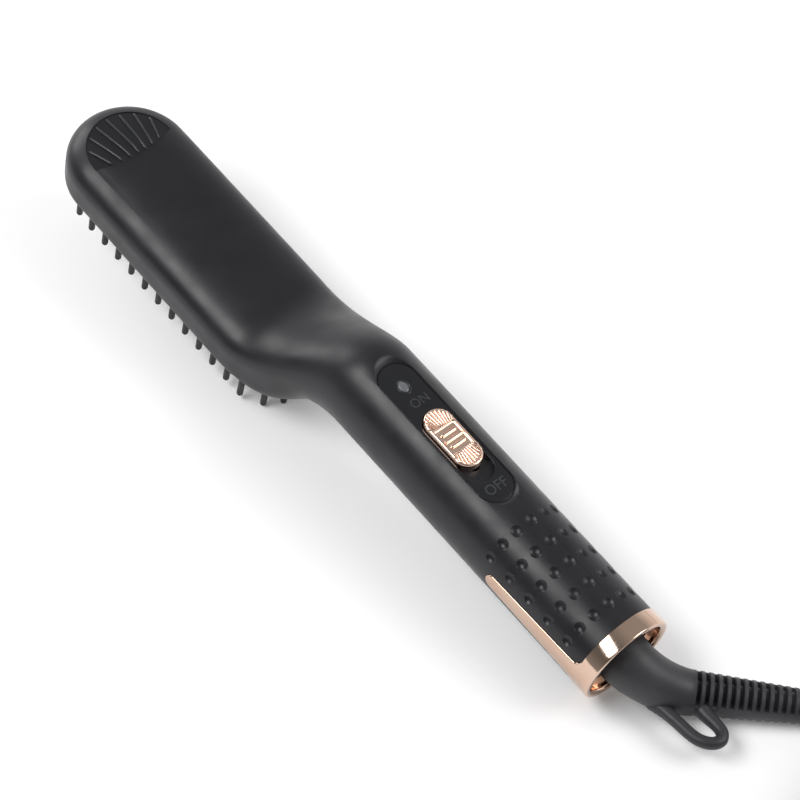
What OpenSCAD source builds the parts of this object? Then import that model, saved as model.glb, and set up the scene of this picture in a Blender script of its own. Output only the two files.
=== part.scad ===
// Heated hair and beard comb with a round handle, a slide switch and a swivelling mains lead.
// The comb is built along X from the head's tip, with the handle's axis at z = 0 and the teeth pointing down,
// and then laid as it rests on a table: on its rearmost teeth and on the trim collar.

/* [Body] */
// Length from the head's tip to the rear of the trim collar
body_len = 250; // [240:1:260]
// Diameter of the round handle
handle_d = 30.5; // [29:0.1:32]
// Width of the comb head
head_w = 41.3; // [40:0.1:43]
// Depth of the head's back below the handle's axis
head_drop = 10.9; // [10:0.1:12]
// Height of the head's crowned back above its straight sides
head_crown = 6.7; // [6:0.1:8]
// Height of the head from its back to its lower rim
head_h = 16.1; // [15.5:0.1:18]
// Distance from the head's tip at which the neck starts
neck_start = 93; // [90:1:94]
// Length of the neck along its flanks
neck_len = 39; // [36:1:40]
// Thickness of the shell
wall = 2; // [1.6:0.1:2.4]
// Clearance between pieces that are fitted together
fit_gap = 0.1; // [0.05:0.01:0.15]

/* [Comb teeth] */
// Diameter of a guard tooth
tooth_d = 1.9; // [1.6:0.1:2.2]
// Length of the guard teeth below the head's rim
tooth_len = 11.5; // [10:0.5:13]
// Distance between teeth in a row
tooth_pitch = 6.9; // [6.7:0.1:7]
// Distance of a straight row's first tooth behind the centre of the tip's arc
row_start = 3.1; // [2.6:0.1:3.6]
// Number of teeth in each straight row
tooth_count = 12; // [10:1:12]
// Distance of the outer rows from the head's centre line
guard_row_y = 16.5; // [16.2:0.1:16.8]
// Depth of the rounded rear end of the guard row
guard_rear = 11.2; // [10.6:0.2:12]
// How much shorter the heated pins are than the guard teeth
pin_short = 2; // [1.5:0.5:3]
// Distance between the rows of heated pins
pin_row_pitch = 6; // [5.4:0.2:6.4]

/* [Fan recess] */
// Length of the recess along the comb
fan_len = 18.9; // [16:0.1:20]
// Width of the rim left round the recess
fan_rim = 5.9; // [5:0.1:7]
// Depth of the recess
fan_depth = 0.8; // [0.5:0.1:1]
// Number of raised ribs
fan_ribs = 9; // [7:1:11]
// Width of a rib
fan_rib_w = 0.7; // [0.5:0.1:0.9]

/* [Switch] */
// Distance of the panel's front end from the head's tip
panel_x = 139; // [138:0.5:141]
// Length of the switch panel
panel_len = 55; // [54:0.5:57]
// Width of the switch panel
panel_w = 12.5; // [12.2:0.1:13]
// Height of the panel's face above the handle's axis
panel_z = 13.4; // [13.2:0.1:13.6]
// Thickness of the panel
panel_t = 1.6; // [1.2:0.1:1.8]
// Length of the slide knob
knob_len = 22.1; // [21:0.1:23]
// Width of the slide knob
knob_w = 9.4; // [9:0.1:9.6]
// Height of the knob above the panel's face
knob_rise = 1.7; // [1.2:0.1:2]
// Travel of the knob from ON to OFF
knob_travel = 5; // [4:0.5:5.5]
// Distance of the knob's centre from the panel's front end, at ON
knob_offset = 30.7; // [30.2:0.1:31.2]
// Distance of the indicator window from the panel's front end
window_offset = 8.6; // [8:0.1:9.4]
// Diameter of the indicator window
window_d = 3.6; // [3:0.1:4]
// Running gap between the knob and its slot
slide_gap = 0.25; // [0.15:0.05:0.35]

/* [Grip dimples] */
// Number of rings of dimples
dimple_rings = 5; // [4:1:5]
// Distance between rings
dimple_pitch = 8.3; // [8:0.1:8.6]
// Number of dimples on the upper side of each ring
dimple_rows = 7; // [5:2:7]
// Angle between rows
dimple_step = 20.6; // [18:0.2:21.4]
// Width of a dimple
dimple_w = 3.1; // [2.6:0.1:3.5]
// Depth of a dimple
dimple_depth = 0.7; // [0.5:0.1:0.9]
// Distance of the last ring from the trim collar's band
dimple_gap = 7.1; // [6.6:0.1:8]

/* [Trim collar] */
// Length of the collar's band
band_len = 5.8; // [5:0.1:6.5]
// How far the collar stands out from the handle
band_step = 0.3; // [0.2:0.05:0.4]
// Wall of the band at its rear opening
band_wall = 2.3; // [2:0.1:2.6]
// Length of the side prongs in front of the band
prong_len = 38.8; // [36:0.2:42]
// Width of a prong at its root
prong_w = 7.6; // [7:0.1:8.4]
// Width of a prong at its tip
prong_tip_w = 5.4; // [5:0.1:6]

/* [Swivel and lead] */
// Diameter of the swivel spindle
spindle_d = 12.9; // [12.5:0.1:13.3]
// Running clearance round the spindle
spindle_gap = 0.06; // [0.04:0.01:0.09]
// Diameter of the boot where it leaves the collar
boot_d = 16.7; // [16:0.1:17.5]
// Diameter of the strain relief at its first rib
relief_d = 13.5; // [13:0.1:14]
// Diameter of the strain relief at its end
relief_end_d = 8.2; // [7.8:0.1:9]
// Length of the strain relief
relief_len = 52; // [50:0.5:54]
// Distance between the strain relief's ribs
relief_pitch = 2.5; // [2.4:0.1:2.7]
// Diameter of the rod that forms the hanging loop
loop_d = 3.8; // [3.6:0.1:4]
// Diameter of the mains lead
cord_d = 6; // [5.9:0.1:6.1]

/* [Plug] */
// Width of the plug's body
plug_w = 35.3; // [34:0.1:36]
// Thickness of the plug's body
plug_t = 13.7; // [13:0.1:14]
// Diameter of a plug pin
plug_pin_d = 4; // [3.9:0.05:4.1]
// Length of a plug pin
plug_pin_len = 19; // [18.5:0.5:19.5]
// Distance between the plug pins
plug_pin_gap = 19; // [18.5:0.1:19.2]

/* [Hidden] */
$fn = 48;
eps = 0.01;

handle_r = handle_d / 2;
bore_r = handle_r - wall;
head_r = head_w / 2;
head_bottom = head_drop + head_h;
tip_depth = head_bottom + tooth_len;
first_row_x = head_r + row_start;
last_row_x = first_row_x + (tooth_count - 1) * tooth_pitch;
rear_tooth_x = last_row_x + guard_rear;
band_r = handle_r + band_step;
band_x = body_len - band_len;
frame_margin = head_r - wall - guard_row_y;

// The comb's pitch on the table: its rearmost teeth and the band's underside both touch it
pitch = atan((tip_depth - band_r) / (body_len - rear_tooth_x));
lift = body_len * sin(pitch) + band_r * cos(pitch);
low_x = -head_bottom * sin(pitch);
high_x = body_len * cos(pitch) + band_r * sin(pitch);
mid_x = (low_x + high_x) / 2;

// A point of the comb, after the comb is laid down
function laid(p) = [p[0] * cos(pitch) + p[2] * sin(pitch) - mid_x, p[1],
    p[2] * cos(pitch) - p[0] * sin(pitch) + lift];

module laid() {
    translate([-mid_x, 0, lift])
        rotate([0, pitch, 0])
            children();
}

// Turns a shape drawn round Z into one round X, starting at x
module along_x(x) {
    translate([x, 0, 0])
        rotate([90, 0, 90])
            children();
}

module rod(d, x0, x1) {
    along_x(x0)
        cylinder(d = d, h = x1 - x0);
}

// ---- Outer form: one section that changes from the head's to the handle's ----
section_points = 40;
neck_steps = 16;
rim_sharpness = 14;
facet_step = 0.08;
back_sharpness = 3.2;
neck_end = neck_start + neck_len + 5;
rim_rise_x = rear_tooth_x - 6;

function ease(x, x0, x1) = let (t = min(1, max(0, (x - x0) / (x1 - x0)))) t * t * (3 - 2 * t);
function mix(a, b, t) = a + (b - a) * t;
function power(v, n) = sign(v) * pow(abs(v), 2 / n);

// Section across the comb at x, set in from the outer surface by inset
function section(x, inset) =
    let (side = ease(x, neck_start - 2, neck_start + neck_len - 2),
        back = ease(x, neck_start, neck_end),
        rim = ease(x, rim_rise_x, neck_end),
        corner = ease(x, neck_start + 4, neck_start + neck_len - 8),
        end_r = handle_r - facet_step,
        half = mix(head_r, end_r, side) - inset,
        middle = mix(-head_drop - head_crown, 0, back),
        top = mix(-head_drop, end_r, back) - middle - inset,
        bottom = middle + mix(head_bottom, end_r, rim) - inset,
        top_n = mix(back_sharpness, 2, corner),
        bottom_n = mix(rim_sharpness, 2, corner))
    [for (i = [0:section_points - 1])
        let (a = 360 * i / section_points, up = sin(a) >= 0, n = up ? top_n : bottom_n)
        [half * power(cos(a), n), middle + (up ? top : bottom) * power(sin(a), n)]];

module head_form(inset) {
    quarter = section_points / 4;
    outline = section(0, inset);
    half = [for (i = [-quarter:quarter]) outline[(i + section_points) % section_points]];
    translate([head_r, 0, 0])
        rotate([0, 0, 90])
            rotate_extrude(angle = 180)
                polygon([for (p = half) [max(0, p[0]), p[1]]]);
    along_x(head_r)
        linear_extrude(height = neck_start - 2 - head_r)
            polygon(outline);
}

module neck_form(inset) {
    x0 = neck_start - 2;
    n = section_points;
    rings = [for (i = [0:neck_steps])
        let (x = mix(x0, neck_end, i / neck_steps))
        [for (p = section(x, inset)) [x, p[0], p[1]]]];
    sides = [for (i = [0:neck_steps - 1], j = [0:n - 1])
        [i * n + j, (i + 1) * n + j, (i + 1) * n + (j + 1) % n, i * n + (j + 1) % n]];
    front = [for (j = [0:n - 1]) j];
    back = [for (j = [n - 1:-1:0]) neck_steps * n + j];
    polyhedron(points = [for (ring = rings) each ring], faces = concat(sides, [front], [back]));
}

module body_form(inset, rear_x) {
    head_form(inset);
    neck_form(inset);
    rod(handle_d - 2 * inset, neck_end, rear_x);
}

// Outline of the comb's underside, rounded at both ends; r is its half width
function oval(r) = concat(
    [for (a = [90:7.5:270]) [head_r + r * cos(a), r * sin(a)]],
    [for (a = [-90:7.5:90]) [last_row_x + (guard_rear + r - guard_row_y) * cos(a), r * sin(a)]]);

// A flat piece with the underside's outline, from depth z_top down to z_low
module oval_slab(r, z_low, z_top) {
    translate([0, 0, z_low])
        linear_extrude(height = z_top - z_low)
            polygon(oval(r));
}

// A stadium seen from above, from x0 to x1
module stadium(x0, x1, w, z0, z1) {
    translate([0, 0, z0])
        linear_extrude(height = z1 - z0) {
            translate([x0 + w / 2, 0])
                circle(d = w);
            translate([x1 - w / 2, 0])
                circle(d = w);
            translate([x0 + w / 2, -w / 2])
                square([x1 - x0 - w, w]);
        }
}

// ---- Fan recess at the tip ----
fan_r = head_r - fan_rim;
fan_inner_r = 2 * fan_r;
fan_focus_x = fan_len + fan_rim + 26;
fan_spread = 48;

// Lens-shaped outline: the tip's own curve in front, a shallow arc behind
module fan_outline(inset) {
    bulge_x = head_r - fan_r + fan_len;
    intersection() {
        translate([head_r, 0])
            circle(r = fan_r - inset);
        translate([bulge_x - fan_inner_r, 0])
            circle(r = fan_inner_r - inset);
    }
}

module fan_ribs() {
    for (i = [0:fan_ribs - 1])
        translate([fan_focus_x, 0])
            rotate(180 - fan_spread / 2 + fan_spread * i / (fan_ribs - 1))
                translate([0, -fan_rib_w / 2])
                    square([fan_focus_x, fan_rib_w]);
}

fan_top = -head_drop + 1;
// Height of the recess's floor, which follows the crown of the back as a wide flat cone
module fan_floor() {
    crown_fall = 1;
    translate([head_r, 0, -head_drop - fan_depth - crown_fall])
        rotate_extrude()
            polygon([[0, crown_fall], [fan_r + 1, 0], [fan_r + 1, fan_top + head_drop + fan_depth + crown_fall],
                [0, fan_top + head_drop + fan_depth + crown_fall]]);
}

module fan_cut() {
    intersection() {
        translate([0, 0, -head_drop - head_crown])
            linear_extrude(height = head_crown + 1)
                difference() {
                    fan_outline(0);
                    intersection() {
                        fan_outline(0.9);
                        fan_ribs();
                    }
                }
        fan_floor();
    }
}

// ---- Places inside the head ----
frame_t = 2;
frame_rebate = 0.3;
frame_r = head_r - wall + frame_rebate - fit_gap;
plate_r = guard_row_y - 3.9;
plate_t = 2.4;
plate_low = -head_bottom + 0.5;
tray_wall = 1.6;
tray_roof = 1.5;
tray_rise = 2.4;
tray_top = -head_drop - head_crown + tray_rise;
heater_t = 3.2;
film_t = 0.3;
heater_top = plate_low + plate_t + heater_t;
film_top = heater_top + film_t;
clamp_t = 0.8;
clamp_x0 = head_r + 4;
clamp_x1 = last_row_x - 4;
heater_gap = 5;
heater_x0 = head_r + 6;
heater_x1 = last_row_x - 6;
heater_len = (heater_x1 - heater_x0 - heater_gap) / 2;
heater_half = plate_r - 4.6;
film_margin = 4;
tray_screw_x = [head_r + 9.4, last_row_x - 17];
tray_screw_y = 9;
screw_d = 2.5;
screw_head_d = 4.6;

// ---- Places inside the handle ----
spigot_len = 9;
cap_x0 = band_x - spigot_len + 2;
flange_t = 3;
nose_len = 12;
nose_front = cap_x0 - 0.3 - flange_t - nose_len;
seat_t = 1.5;
seat_reach = 1.5;
seat_top = panel_z - panel_t;
seat_low = seat_top - seat_t;
panel_end = panel_x + panel_len;
knob_x = panel_x + knob_offset;
slot_x0 = knob_x - knob_len / 2 - slide_gap;
slot_x1 = knob_x + knob_len / 2 + knob_travel + slide_gap;
window_x = panel_x + window_offset;
board_top = -1;
board_t = 1.2;
board_x0 = panel_x + 2;
board_x1 = nose_front - 10;
board_w = 20;
board_screw_x = [board_x0 + 3, board_x1 - 3];
board_screw_y = 7.5;
post_d = 5;
stem_w = 4;
stem_len = 8;
carrier_t = 1.2;
switch_x = knob_x + knob_travel / 2;
switch_len = 14;
switch_w = 7;
switch_h = 6;
lever_w = 2;

// ---- Lower cover ----
cover_split = 7;
cover_x0 = neck_end + 2;
cover_x1 = band_x - 7;
cover_half = sqrt(pow(handle_r, 2) - pow(cover_split, 2));
cover_screw_x = nose_front - 5.5;
cover_screw_y = 7.5;
cover_post_d = 6;
hook_w = 8;
hook_reach = 3;

// Plan of the cover, with a rounded front end
module cover_block(gap) {
    r = cover_half + 1 - gap;
    translate([0, 0, -handle_r - 1])
        linear_extrude(height = handle_r + 1 - cover_split - gap)
            intersection() {
                union() {
                    translate([cover_x0 + gap + r, 0])
                        circle(r = r);
                    translate([cover_x0 + gap + r, -r])
                        square([cover_x1 - gap - cover_x0 - gap - r, 2 * r]);
                }
                translate([cover_x0 - 1, -handle_r - 1])
                    square([cover_x1 - cover_x0 - gap + 1, handle_d + 2]);
            }
}

// ---- Trim collar ----
spigot_wall = 1.3;
spigot_r = bore_r - fit_gap;
prong_depth = 0.9;
prong_x = band_x - prong_len;
prong_fillet = 3;

// Side view of a prong: a round tip, a slow taper and a fillet into the band
module prong_outline(gap) {
    tip_r = prong_tip_w / 2 + gap;
    root = prong_w / 2 + gap;
    fillet_x = band_x - prong_fillet;
    f = prong_fillet - gap;
    translate([prong_x + prong_tip_w / 2, 0])
        circle(r = tip_r);
    polygon(concat(
        [[prong_x + prong_tip_w / 2, tip_r]],
        [for (a = [-90:15:0]) [fillet_x + f * cos(a), root + prong_fillet + f * sin(a)]],
        [[band_x + 1, root + prong_fillet], [band_x + 1, -root - prong_fillet]],
        [for (a = [0:15:90]) [fillet_x + f * cos(a), -root - prong_fillet + f * sin(a)]],
        [[prong_x + prong_tip_w / 2, -tip_r]]));
}

// Both prongs' outline pushed across the handle, kept to a ring between two radii
module prong_ring(r_in, r_out, gap) {
    intersection() {
        rotate([90, 0, 0])
            translate([0, 0, -handle_d])
                linear_extrude(height = 2 * handle_d)
                    prong_outline(gap);
        difference() {
            rod(2 * r_out, prong_x - 2, band_x + 1);
            rod(2 * r_in, prong_x - 3, band_x + 2);
        }
    }
}

// ---- Swivel and boot ----
cap_x1 = band_x + 0.6;
cap_r = spigot_r - spigot_wall - fit_gap;
spindle_r = spindle_d / 2;
flange_r = spindle_r + 2.6;
tongue_z = flange_r + 0.3;
tongue_t = 1.6;
tongue_w = 7;
boot_x0 = cap_x1 + 0.3;
boot_straight = 4;
boot_r = boot_d / 2;
socket_depth = 6;
nose_r = 4;
ring_r = 5;
ring_w = 2.6;
ring_x = [cap_x0 - flange_t - 10, cap_x0 - flange_t - 5.4];

collar_rear = laid([body_len, 0, 0]);
boot_start = laid([boot_x0 + boot_straight, 0, 0]);
axis_dir = [cos(pitch), 0, -sin(pitch)];
relief_heading = 44;
relief_r = relief_d / 2;
relief_end_r = relief_end_d / 2;
relief_start = [collar_rear[0] + 15.9, 11.2, relief_r];
relief_end = [relief_start[0] + relief_len * cos(relief_heading),
    relief_start[1] + relief_len * sin(relief_heading), relief_end_r];
relief_dir = (relief_end - relief_start) / norm(relief_end - relief_start);

// Point and direction of a cubic curve with four control points
function curve(p, t) = pow(1 - t, 3) * p[0] + 3 * t * pow(1 - t, 2) * p[1]
    + 3 * pow(t, 2) * (1 - t) * p[2] + pow(t, 3) * p[3];
function between(a, b, n) = [for (i = [0:n]) mix(a, b, i / n)];

// A tube along a list of points, with one radius for each point
function unit(v) = v / norm(v);
function run_dir(path, i) = unit(path[min(i + 1, len(path) - 1)] - path[max(i - 1, 0)]);
function ring_at(c, dir, r, sides) =
    let (u = unit(cross(dir, abs(dir[2]) > 0.95 ? [1, 0, 0] : [0, 0, 1])), v = cross(dir, u))
    [for (k = [0:sides - 1]) c + r * cos(360 * k / sides + 22.5) * u + r * sin(360 * k / sides + 22.5) * v];

module tube(path, radii, sides, dirs = []) {
    n = len(path);
    rings = [for (i = [0:n - 1])
        ring_at(path[i], len(dirs) == n ? dirs[i] : run_dir(path, i), radii[i], sides)];
    walls = [for (i = [0:n - 2], j = [0:sides - 1])
        [i * sides + j, i * sides + (j + 1) % sides, (i + 1) * sides + (j + 1) % sides, (i + 1) * sides + j]];
    polyhedron(points = [for (ring = rings) each ring],
        faces = concat(walls, [[for (j = [sides - 1:-1:0]) j]],
            [[for (j = [0:sides - 1]) (n - 1) * sides + j]]));
}

// ---- Mains lead: round numbers, on the surface that the comb rests on ----
cord_r = cord_d / 2;
tie_t = 0.7;
tie_w = 12;
coil_base = tie_t;
coil_layers = 2;
coil_columns = 4;
coil_mid_r = 33;
coil_centre = [233, 42];
coil_r_out = coil_mid_r + coil_columns * cord_d / 2;
coil_r_in = coil_mid_r - coil_columns * cord_d / 2;
coil_top = coil_base + coil_layers * cord_d;
cord_route = [[182, 51.5, 4], [185, 54.4, 3.9], [188, 57.3, 3.8], [191, 60.2, 3.8], [194, 63.1, 3.8],
    [197, 66, 3.8], [200, 68.9, 3.8]];
tail_route = [[271, 57, 15.8], [273, 51, 15.8], [274, 44, 15.8], [273, 37, 16], [270, 31, 16.4],
    [265, 26, 17.2], [257, 23, 18.6], [249, 22, 19.5]];
plug_x = 249;
plug_y = 22;
plug_z = coil_top + plug_t / 2;
plug_len = 36;
plug_neck = 10;

// ==== Housing ====
module main_housing() {
    color("#2a2b2e")
        laid()
            difference() {
                union() {
                    difference() {
                        body_form(0, band_x);
                        body_form(wall, band_x + 1);
                    }
                    panel_seat();
                    head_posts();
                    board_posts();
                    cover_posts();
                }
                oval_slab(frame_r + fit_gap, -head_bottom - 1, -head_bottom + wall + 2.5);
                cover_block(0);
                panel_window();
                prong_ring(handle_r - prong_depth - fit_gap, handle_r + 1, fit_gap);
                fan_cut();
                dimples();
                post_bores();
            }
}

// Flat ledge under the switch panel, tied into the shell
module panel_seat() {
    half = sqrt(pow(bore_r, 2) - pow(seat_low, 2)) + 0.6;
    intersection() {
        translate([panel_x - seat_reach, -half, seat_low])
            cube([panel_len + 2 * seat_reach, 2 * half, seat_t]);
        rod(2 * bore_r + 1, panel_x - seat_reach, panel_end + seat_reach);
    }
}

module panel_window() {
    stadium(panel_x, panel_end, panel_w, seat_top, handle_r + 1);
    stadium(knob_x - stem_len / 2 - slide_gap, knob_x + stem_len / 2 + knob_travel + slide_gap,
        stem_w + 2 * slide_gap, seat_low - 1, seat_top + 1);
    translate([window_x, 0, seat_low - 1])
        cylinder(d = window_d + 2 * fit_gap, h = seat_t + 2);
}

module head_posts() {
    for (x = tray_screw_x, y = [-tray_screw_y, tray_screw_y])
        translate([x, y, tray_top])
            cylinder(d = cover_post_d, h = head_crown - tray_rise - wall / 2);
}

module board_posts() {
    intersection() {
        for (x = board_screw_x, y = [-board_screw_y, board_screw_y])
            translate([x, y, board_top])
                cylinder(d = post_d, h = handle_r);
        rod(2 * bore_r + 1, board_x0 - post_d, board_x1 + post_d);
    }
}

module cover_posts() {
    intersection() {
        for (y = [-cover_screw_y, cover_screw_y])
            translate([cover_screw_x, y, -cover_split])
                cylinder(d = cover_post_d, h = 2 * bore_r);
        rod(2 * bore_r + 1, cover_screw_x - cover_post_d, cover_screw_x + cover_post_d);
    }
}

module post_bores() {
    for (x = tray_screw_x, y = [-tray_screw_y, tray_screw_y])
        translate([x, y, tray_top - 1])
            cylinder(d = screw_d, h = 3.6);
    for (x = board_screw_x, y = [-board_screw_y, board_screw_y])
        translate([x, y, board_top - 1])
            cylinder(d = screw_d, h = 7);
    for (y = [-cover_screw_y, cover_screw_y])
        translate([cover_screw_x, y, -cover_split - 1])
            cylinder(d = screw_d, h = 8);
}

module dimples() {
    ball_r = (pow(dimple_w / 2, 2) + pow(dimple_depth, 2)) / (2 * dimple_depth);
    for (i = [0:dimple_rings - 1], j = [0:dimple_rows - 1])
        rotate([(j - (dimple_rows - 1) / 2) * dimple_step, 0, 0])
            translate([band_x - dimple_gap - i * dimple_pitch, 0, handle_r + ball_r - dimple_depth])
                sphere(r = ball_r);
}

module lower_cover() {
    color("#2a2b2e")
        laid()
            difference() {
                union() {
                    intersection() {
                        difference() {
                            rod(handle_d, neck_end, band_x);
                            rod(2 * bore_r, neck_end - 1, band_x + 1);
                        }
                        cover_block(fit_gap);
                    }
                    intersection() {
                        for (y = [-cover_screw_y, cover_screw_y])
                            translate([cover_screw_x, y, -handle_r])
                                cylinder(d = cover_post_d, h = handle_r - cover_split - fit_gap);
                        rod(2 * bore_r + 1, neck_end, band_x);
                    }
                    cover_hook();
                }
                for (y = [-cover_screw_y, cover_screw_y])
                    translate([cover_screw_x, y, -handle_r - 1]) {
                        cylinder(d = screw_d + 2 * fit_gap, h = handle_r);
                        cylinder(d = screw_head_d + 2 * fit_gap, h = 1 + wall + 1);
                    }
            }
}

// Tongue that holds the cover's front end inside the shell
module cover_hook() {
    half = hook_w / 2;
    translate([cover_x0 - hook_reach, -half, -bore_r + 0.9])
        cube([hook_reach + 7, hook_w, 1.2]);
    translate([cover_x0 + 2, -half, -bore_r - 0.4])
        cube([5, hook_w, 2]);
}

// A pan-head screw that points up, with its head's underside at z = 0
module screw(len, head_h) {
    translate([0, 0, -head_h])
        cylinder(d = screw_head_d, h = head_h);
    translate([0, 0, -eps])
        cylinder(d = screw_d - 0.02, h = len);
}

module cover_screws() {
    color("#8c8c90")
        laid()
            for (y = [-cover_screw_y, cover_screw_y])
                translate([cover_screw_x, y, -handle_r + wall + 1])
                    difference() {
                        screw(9, 1.8);
                        translate([0, 0, -2])
                            cylinder(d = 1.6, h = 1);
                    }
}

// ==== Comb head ====
module guard_frame() {
    color("#202124")
        laid()
            difference() {
                oval_slab(frame_r, -head_bottom, -head_bottom + frame_t);
                oval_slab(plate_r + fit_gap, -head_bottom - 1, -head_bottom + frame_t + 1);
            }
}

// One tooth: a straight rod with a round tip, hanging from z
module tooth(x, y, z, len) {
    r = tooth_d / 2;
    translate([x, y, z - len + r]) {
        cylinder(r = r, h = len - r);
        sphere(r = r);
    }
}

arc_step = 25.5;
module guard_teeth() {
    color("#18191b")
        laid() {
            for (k = [0:tooth_count - 1], side = [-1, 1])
                tooth(first_row_x + k * tooth_pitch, side * guard_row_y, -head_bottom, tooth_len);
            for (k = [-3:3])
                tooth(head_r - guard_row_y * cos(k * arc_step), guard_row_y * sin(k * arc_step),
                    -head_bottom, tooth_len);
            for (k = [-2:2])
                tooth(last_row_x + guard_rear * cos(k * arc_step), guard_row_y * sin(k * arc_step),
                    -head_bottom, tooth_len);
        }
}

module heating_plate() {
    color("#9a9ca0")
        laid()
            oval_slab(plate_r, plate_low, plate_low + plate_t);
}

module heated_pins() {
    color("#55565a")
        laid()
            for (k = [0:tooth_count - 1], row = [-1.5:1.5])
                tooth(first_row_x + k * tooth_pitch, row * pin_row_pitch, plate_low,
                    tooth_len - pin_short + plate_low + head_bottom);
}

module ptc_heaters() {
    color("#d8d2c4")
        laid()
            for (x = [heater_x0, heater_x1 - heater_len])
                translate([x, -heater_half, plate_low + plate_t])
                    cube([heater_len, 2 * heater_half, heater_t]);
}

module insulation_film() {
    color("#c8901e")
        laid()
            translate([heater_x0 - film_margin, -heater_half - 1.5, heater_top])
                cube([heater_x1 - heater_x0 + 2 * film_margin, 2 * heater_half + 3, film_t]);
}

module clamp_spring() {
    color("#b9bbbf")
        laid() {
            translate([clamp_x0, 1 - heater_half, film_top])
                cube([clamp_x1 - clamp_x0, 2 * heater_half - 2, clamp_t]);
            for (x = [clamp_x0 + 18, clamp_x1 - 26])
                translate([x, -3, film_top + clamp_t])
                    cube([8, 6, tray_top - tray_roof - film_top - clamp_t]);
        }
}

module heater_tray() {
    color("#3a3128")
        laid()
            difference() {
                oval_slab(plate_r + 2 + tray_wall, -head_bottom + frame_t, tray_top);
                oval_slab(plate_r + 2, -head_bottom + frame_t - 1, tray_top - tray_roof);
                for (x = tray_screw_x, y = [-tray_screw_y, tray_screw_y])
                    translate([x, y, tray_top - tray_roof - 1])
                        cylinder(d = screw_d + 2 * fit_gap, h = tray_roof + 2);
                translate([last_row_x + guard_rear - 6, -4, tray_top - tray_roof - 5])
                    cube([20, 8, 5]);
            }
}

module tray_screws() {
    color("#8c8c90")
        laid()
            for (x = tray_screw_x, y = [-tray_screw_y, tray_screw_y])
                translate([x, y, tray_top - tray_roof])
                    screw(4, 1.4);
}

fuse_d = 2.8;
module thermal_fuse() {
    color("#e9e4da")
        laid()
            rod_at(fuse_d, clamp_x0 + 30, clamp_x0 + 42, 5.2, film_top + clamp_t + fuse_d / 2);
}

module rod_at(d, x0, x1, y, z) {
    translate([0, y, z])
        rod(d, x0, x1);
}

bead_d = 2.4;
module thermistor() {
    color("#30343c")
        laid()
            rod_at(bead_d, clamp_x1 - 16, clamp_x1 - 10, 5.2, film_top + clamp_t + bead_d / 2);
}

lead_d = 1.6;
lead_z = board_top + lead_d / 2 + 0.02;
// Leads that run from the heater through the neck to the circuit board
module heater_leads() {
    z0 = film_top + clamp_t + lead_d / 2;
    tray_exit = last_row_x + guard_rear;
    for (i = [-1:1])
        color(i < 0 ? "#b02020" : i > 0 ? "#f0f0f0" : "#202020")
            laid()
                tube(between([clamp_x1 - 12, i * 2, z0], [tray_exit - 4, i * 2, z0], 2),
                    [for (k = [0:2]) lead_d / 2], 8);
    for (i = [-1:1])
        color(i < 0 ? "#b02020" : i > 0 ? "#f0f0f0" : "#202020")
            laid()
                tube(concat([for (t = [0:0.125:1])
                    curve([[tray_exit - 4, i * 2, z0], [tray_exit + 14, i * 2, z0],
                        [board_x0 - 22, i * 3, lead_z], [board_x0 - 3, i * 3, lead_z]], t)],
                    [[board_x0 + 3, i * 3, lead_z]]),
                    [for (k = [0:9]) lead_d / 2], 8);
}

// ==== Switch group ====
module switch_panel() {
    color("#101214")
        laid()
            difference() {
                stadium(panel_x + fit_gap, panel_end - fit_gap, panel_w - 2 * fit_gap, seat_top, panel_z);
                stadium(slot_x0, slot_x1, knob_w + 2 * slide_gap, seat_top - 1, panel_z + 1);
                translate([window_x, 0, seat_top - 1])
                    cylinder(d = window_d + 2 * fit_gap, h = panel_t + 2);
            }
}

module slide_knob() {
    base_z = seat_top + fit_gap;
    top_z = panel_z + knob_rise;
    x0 = knob_x - knob_len / 2;
    x1 = knob_x + knob_len / 2;
    tray_len = 8.6;
    color("#d9a48f")
        laid() {
            difference() {
                stadium(x0, x1, knob_w, base_z, top_z);
                translate([knob_x - tray_len / 2, -knob_w / 2 + 1, top_z - 0.9])
                    cube([tray_len, knob_w - 2, 2]);
                for (side = [-1, 1], k = [-6:6])
                    translate([knob_x + side * (knob_len / 2 - knob_w / 2 - 3.5), 0, top_z])
                        rotate([0, 0, (side > 0 ? 0 : 180) + k * 9])
                            translate([3.2, 0, 0])
                                rotate([0, 90, 0])
                                    cylinder(d = 0.45, h = 8);
            }
            for (k = [-1:1])
                let (bar_len = k == 0 ? knob_w - 0.4 : knob_w - 3.2)
                    translate([knob_x + k * 2.5 - 0.5, -bar_len / 2, top_z - 0.9 - eps])
                        cube([1, bar_len, 0.8]);
            stadium(knob_x - stem_len / 2, knob_x + stem_len / 2, stem_w,
                seat_low - slide_gap, base_z + eps);
        }
}

carrier_top = seat_low - slide_gap;
carrier_low = carrier_top - carrier_t;
module knob_carrier() {
    color("#ececec")
        laid()
            difference() {
                union() {
                    translate([knob_x - 7, -5, carrier_low])
                        cube([14, 10, carrier_t]);
                    translate([knob_x - 3, -2.5, board_top + switch_h + 0.4])
                        cube([6, 5, carrier_low - board_top - switch_h - 0.4 + eps]);
                }
                translate([knob_x - lever_w / 2 - 0.05, -lever_w / 2 - 0.05, board_top + switch_h])
                    cube([lever_w + 0.1, lever_w + 0.1, carrier_low - board_top - switch_h]);
            }
}

module switch_lever() {
    color("#17181a")
        laid() {
            translate([knob_x - lever_w / 2, -lever_w / 2, board_top + 3])
                cube([lever_w, lever_w, carrier_low - board_top - 3 - 0.05]);
            translate([knob_x - 2.5, -2.2, board_top + 2])
                cube([5, 4.4, 2]);
        }
}

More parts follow.
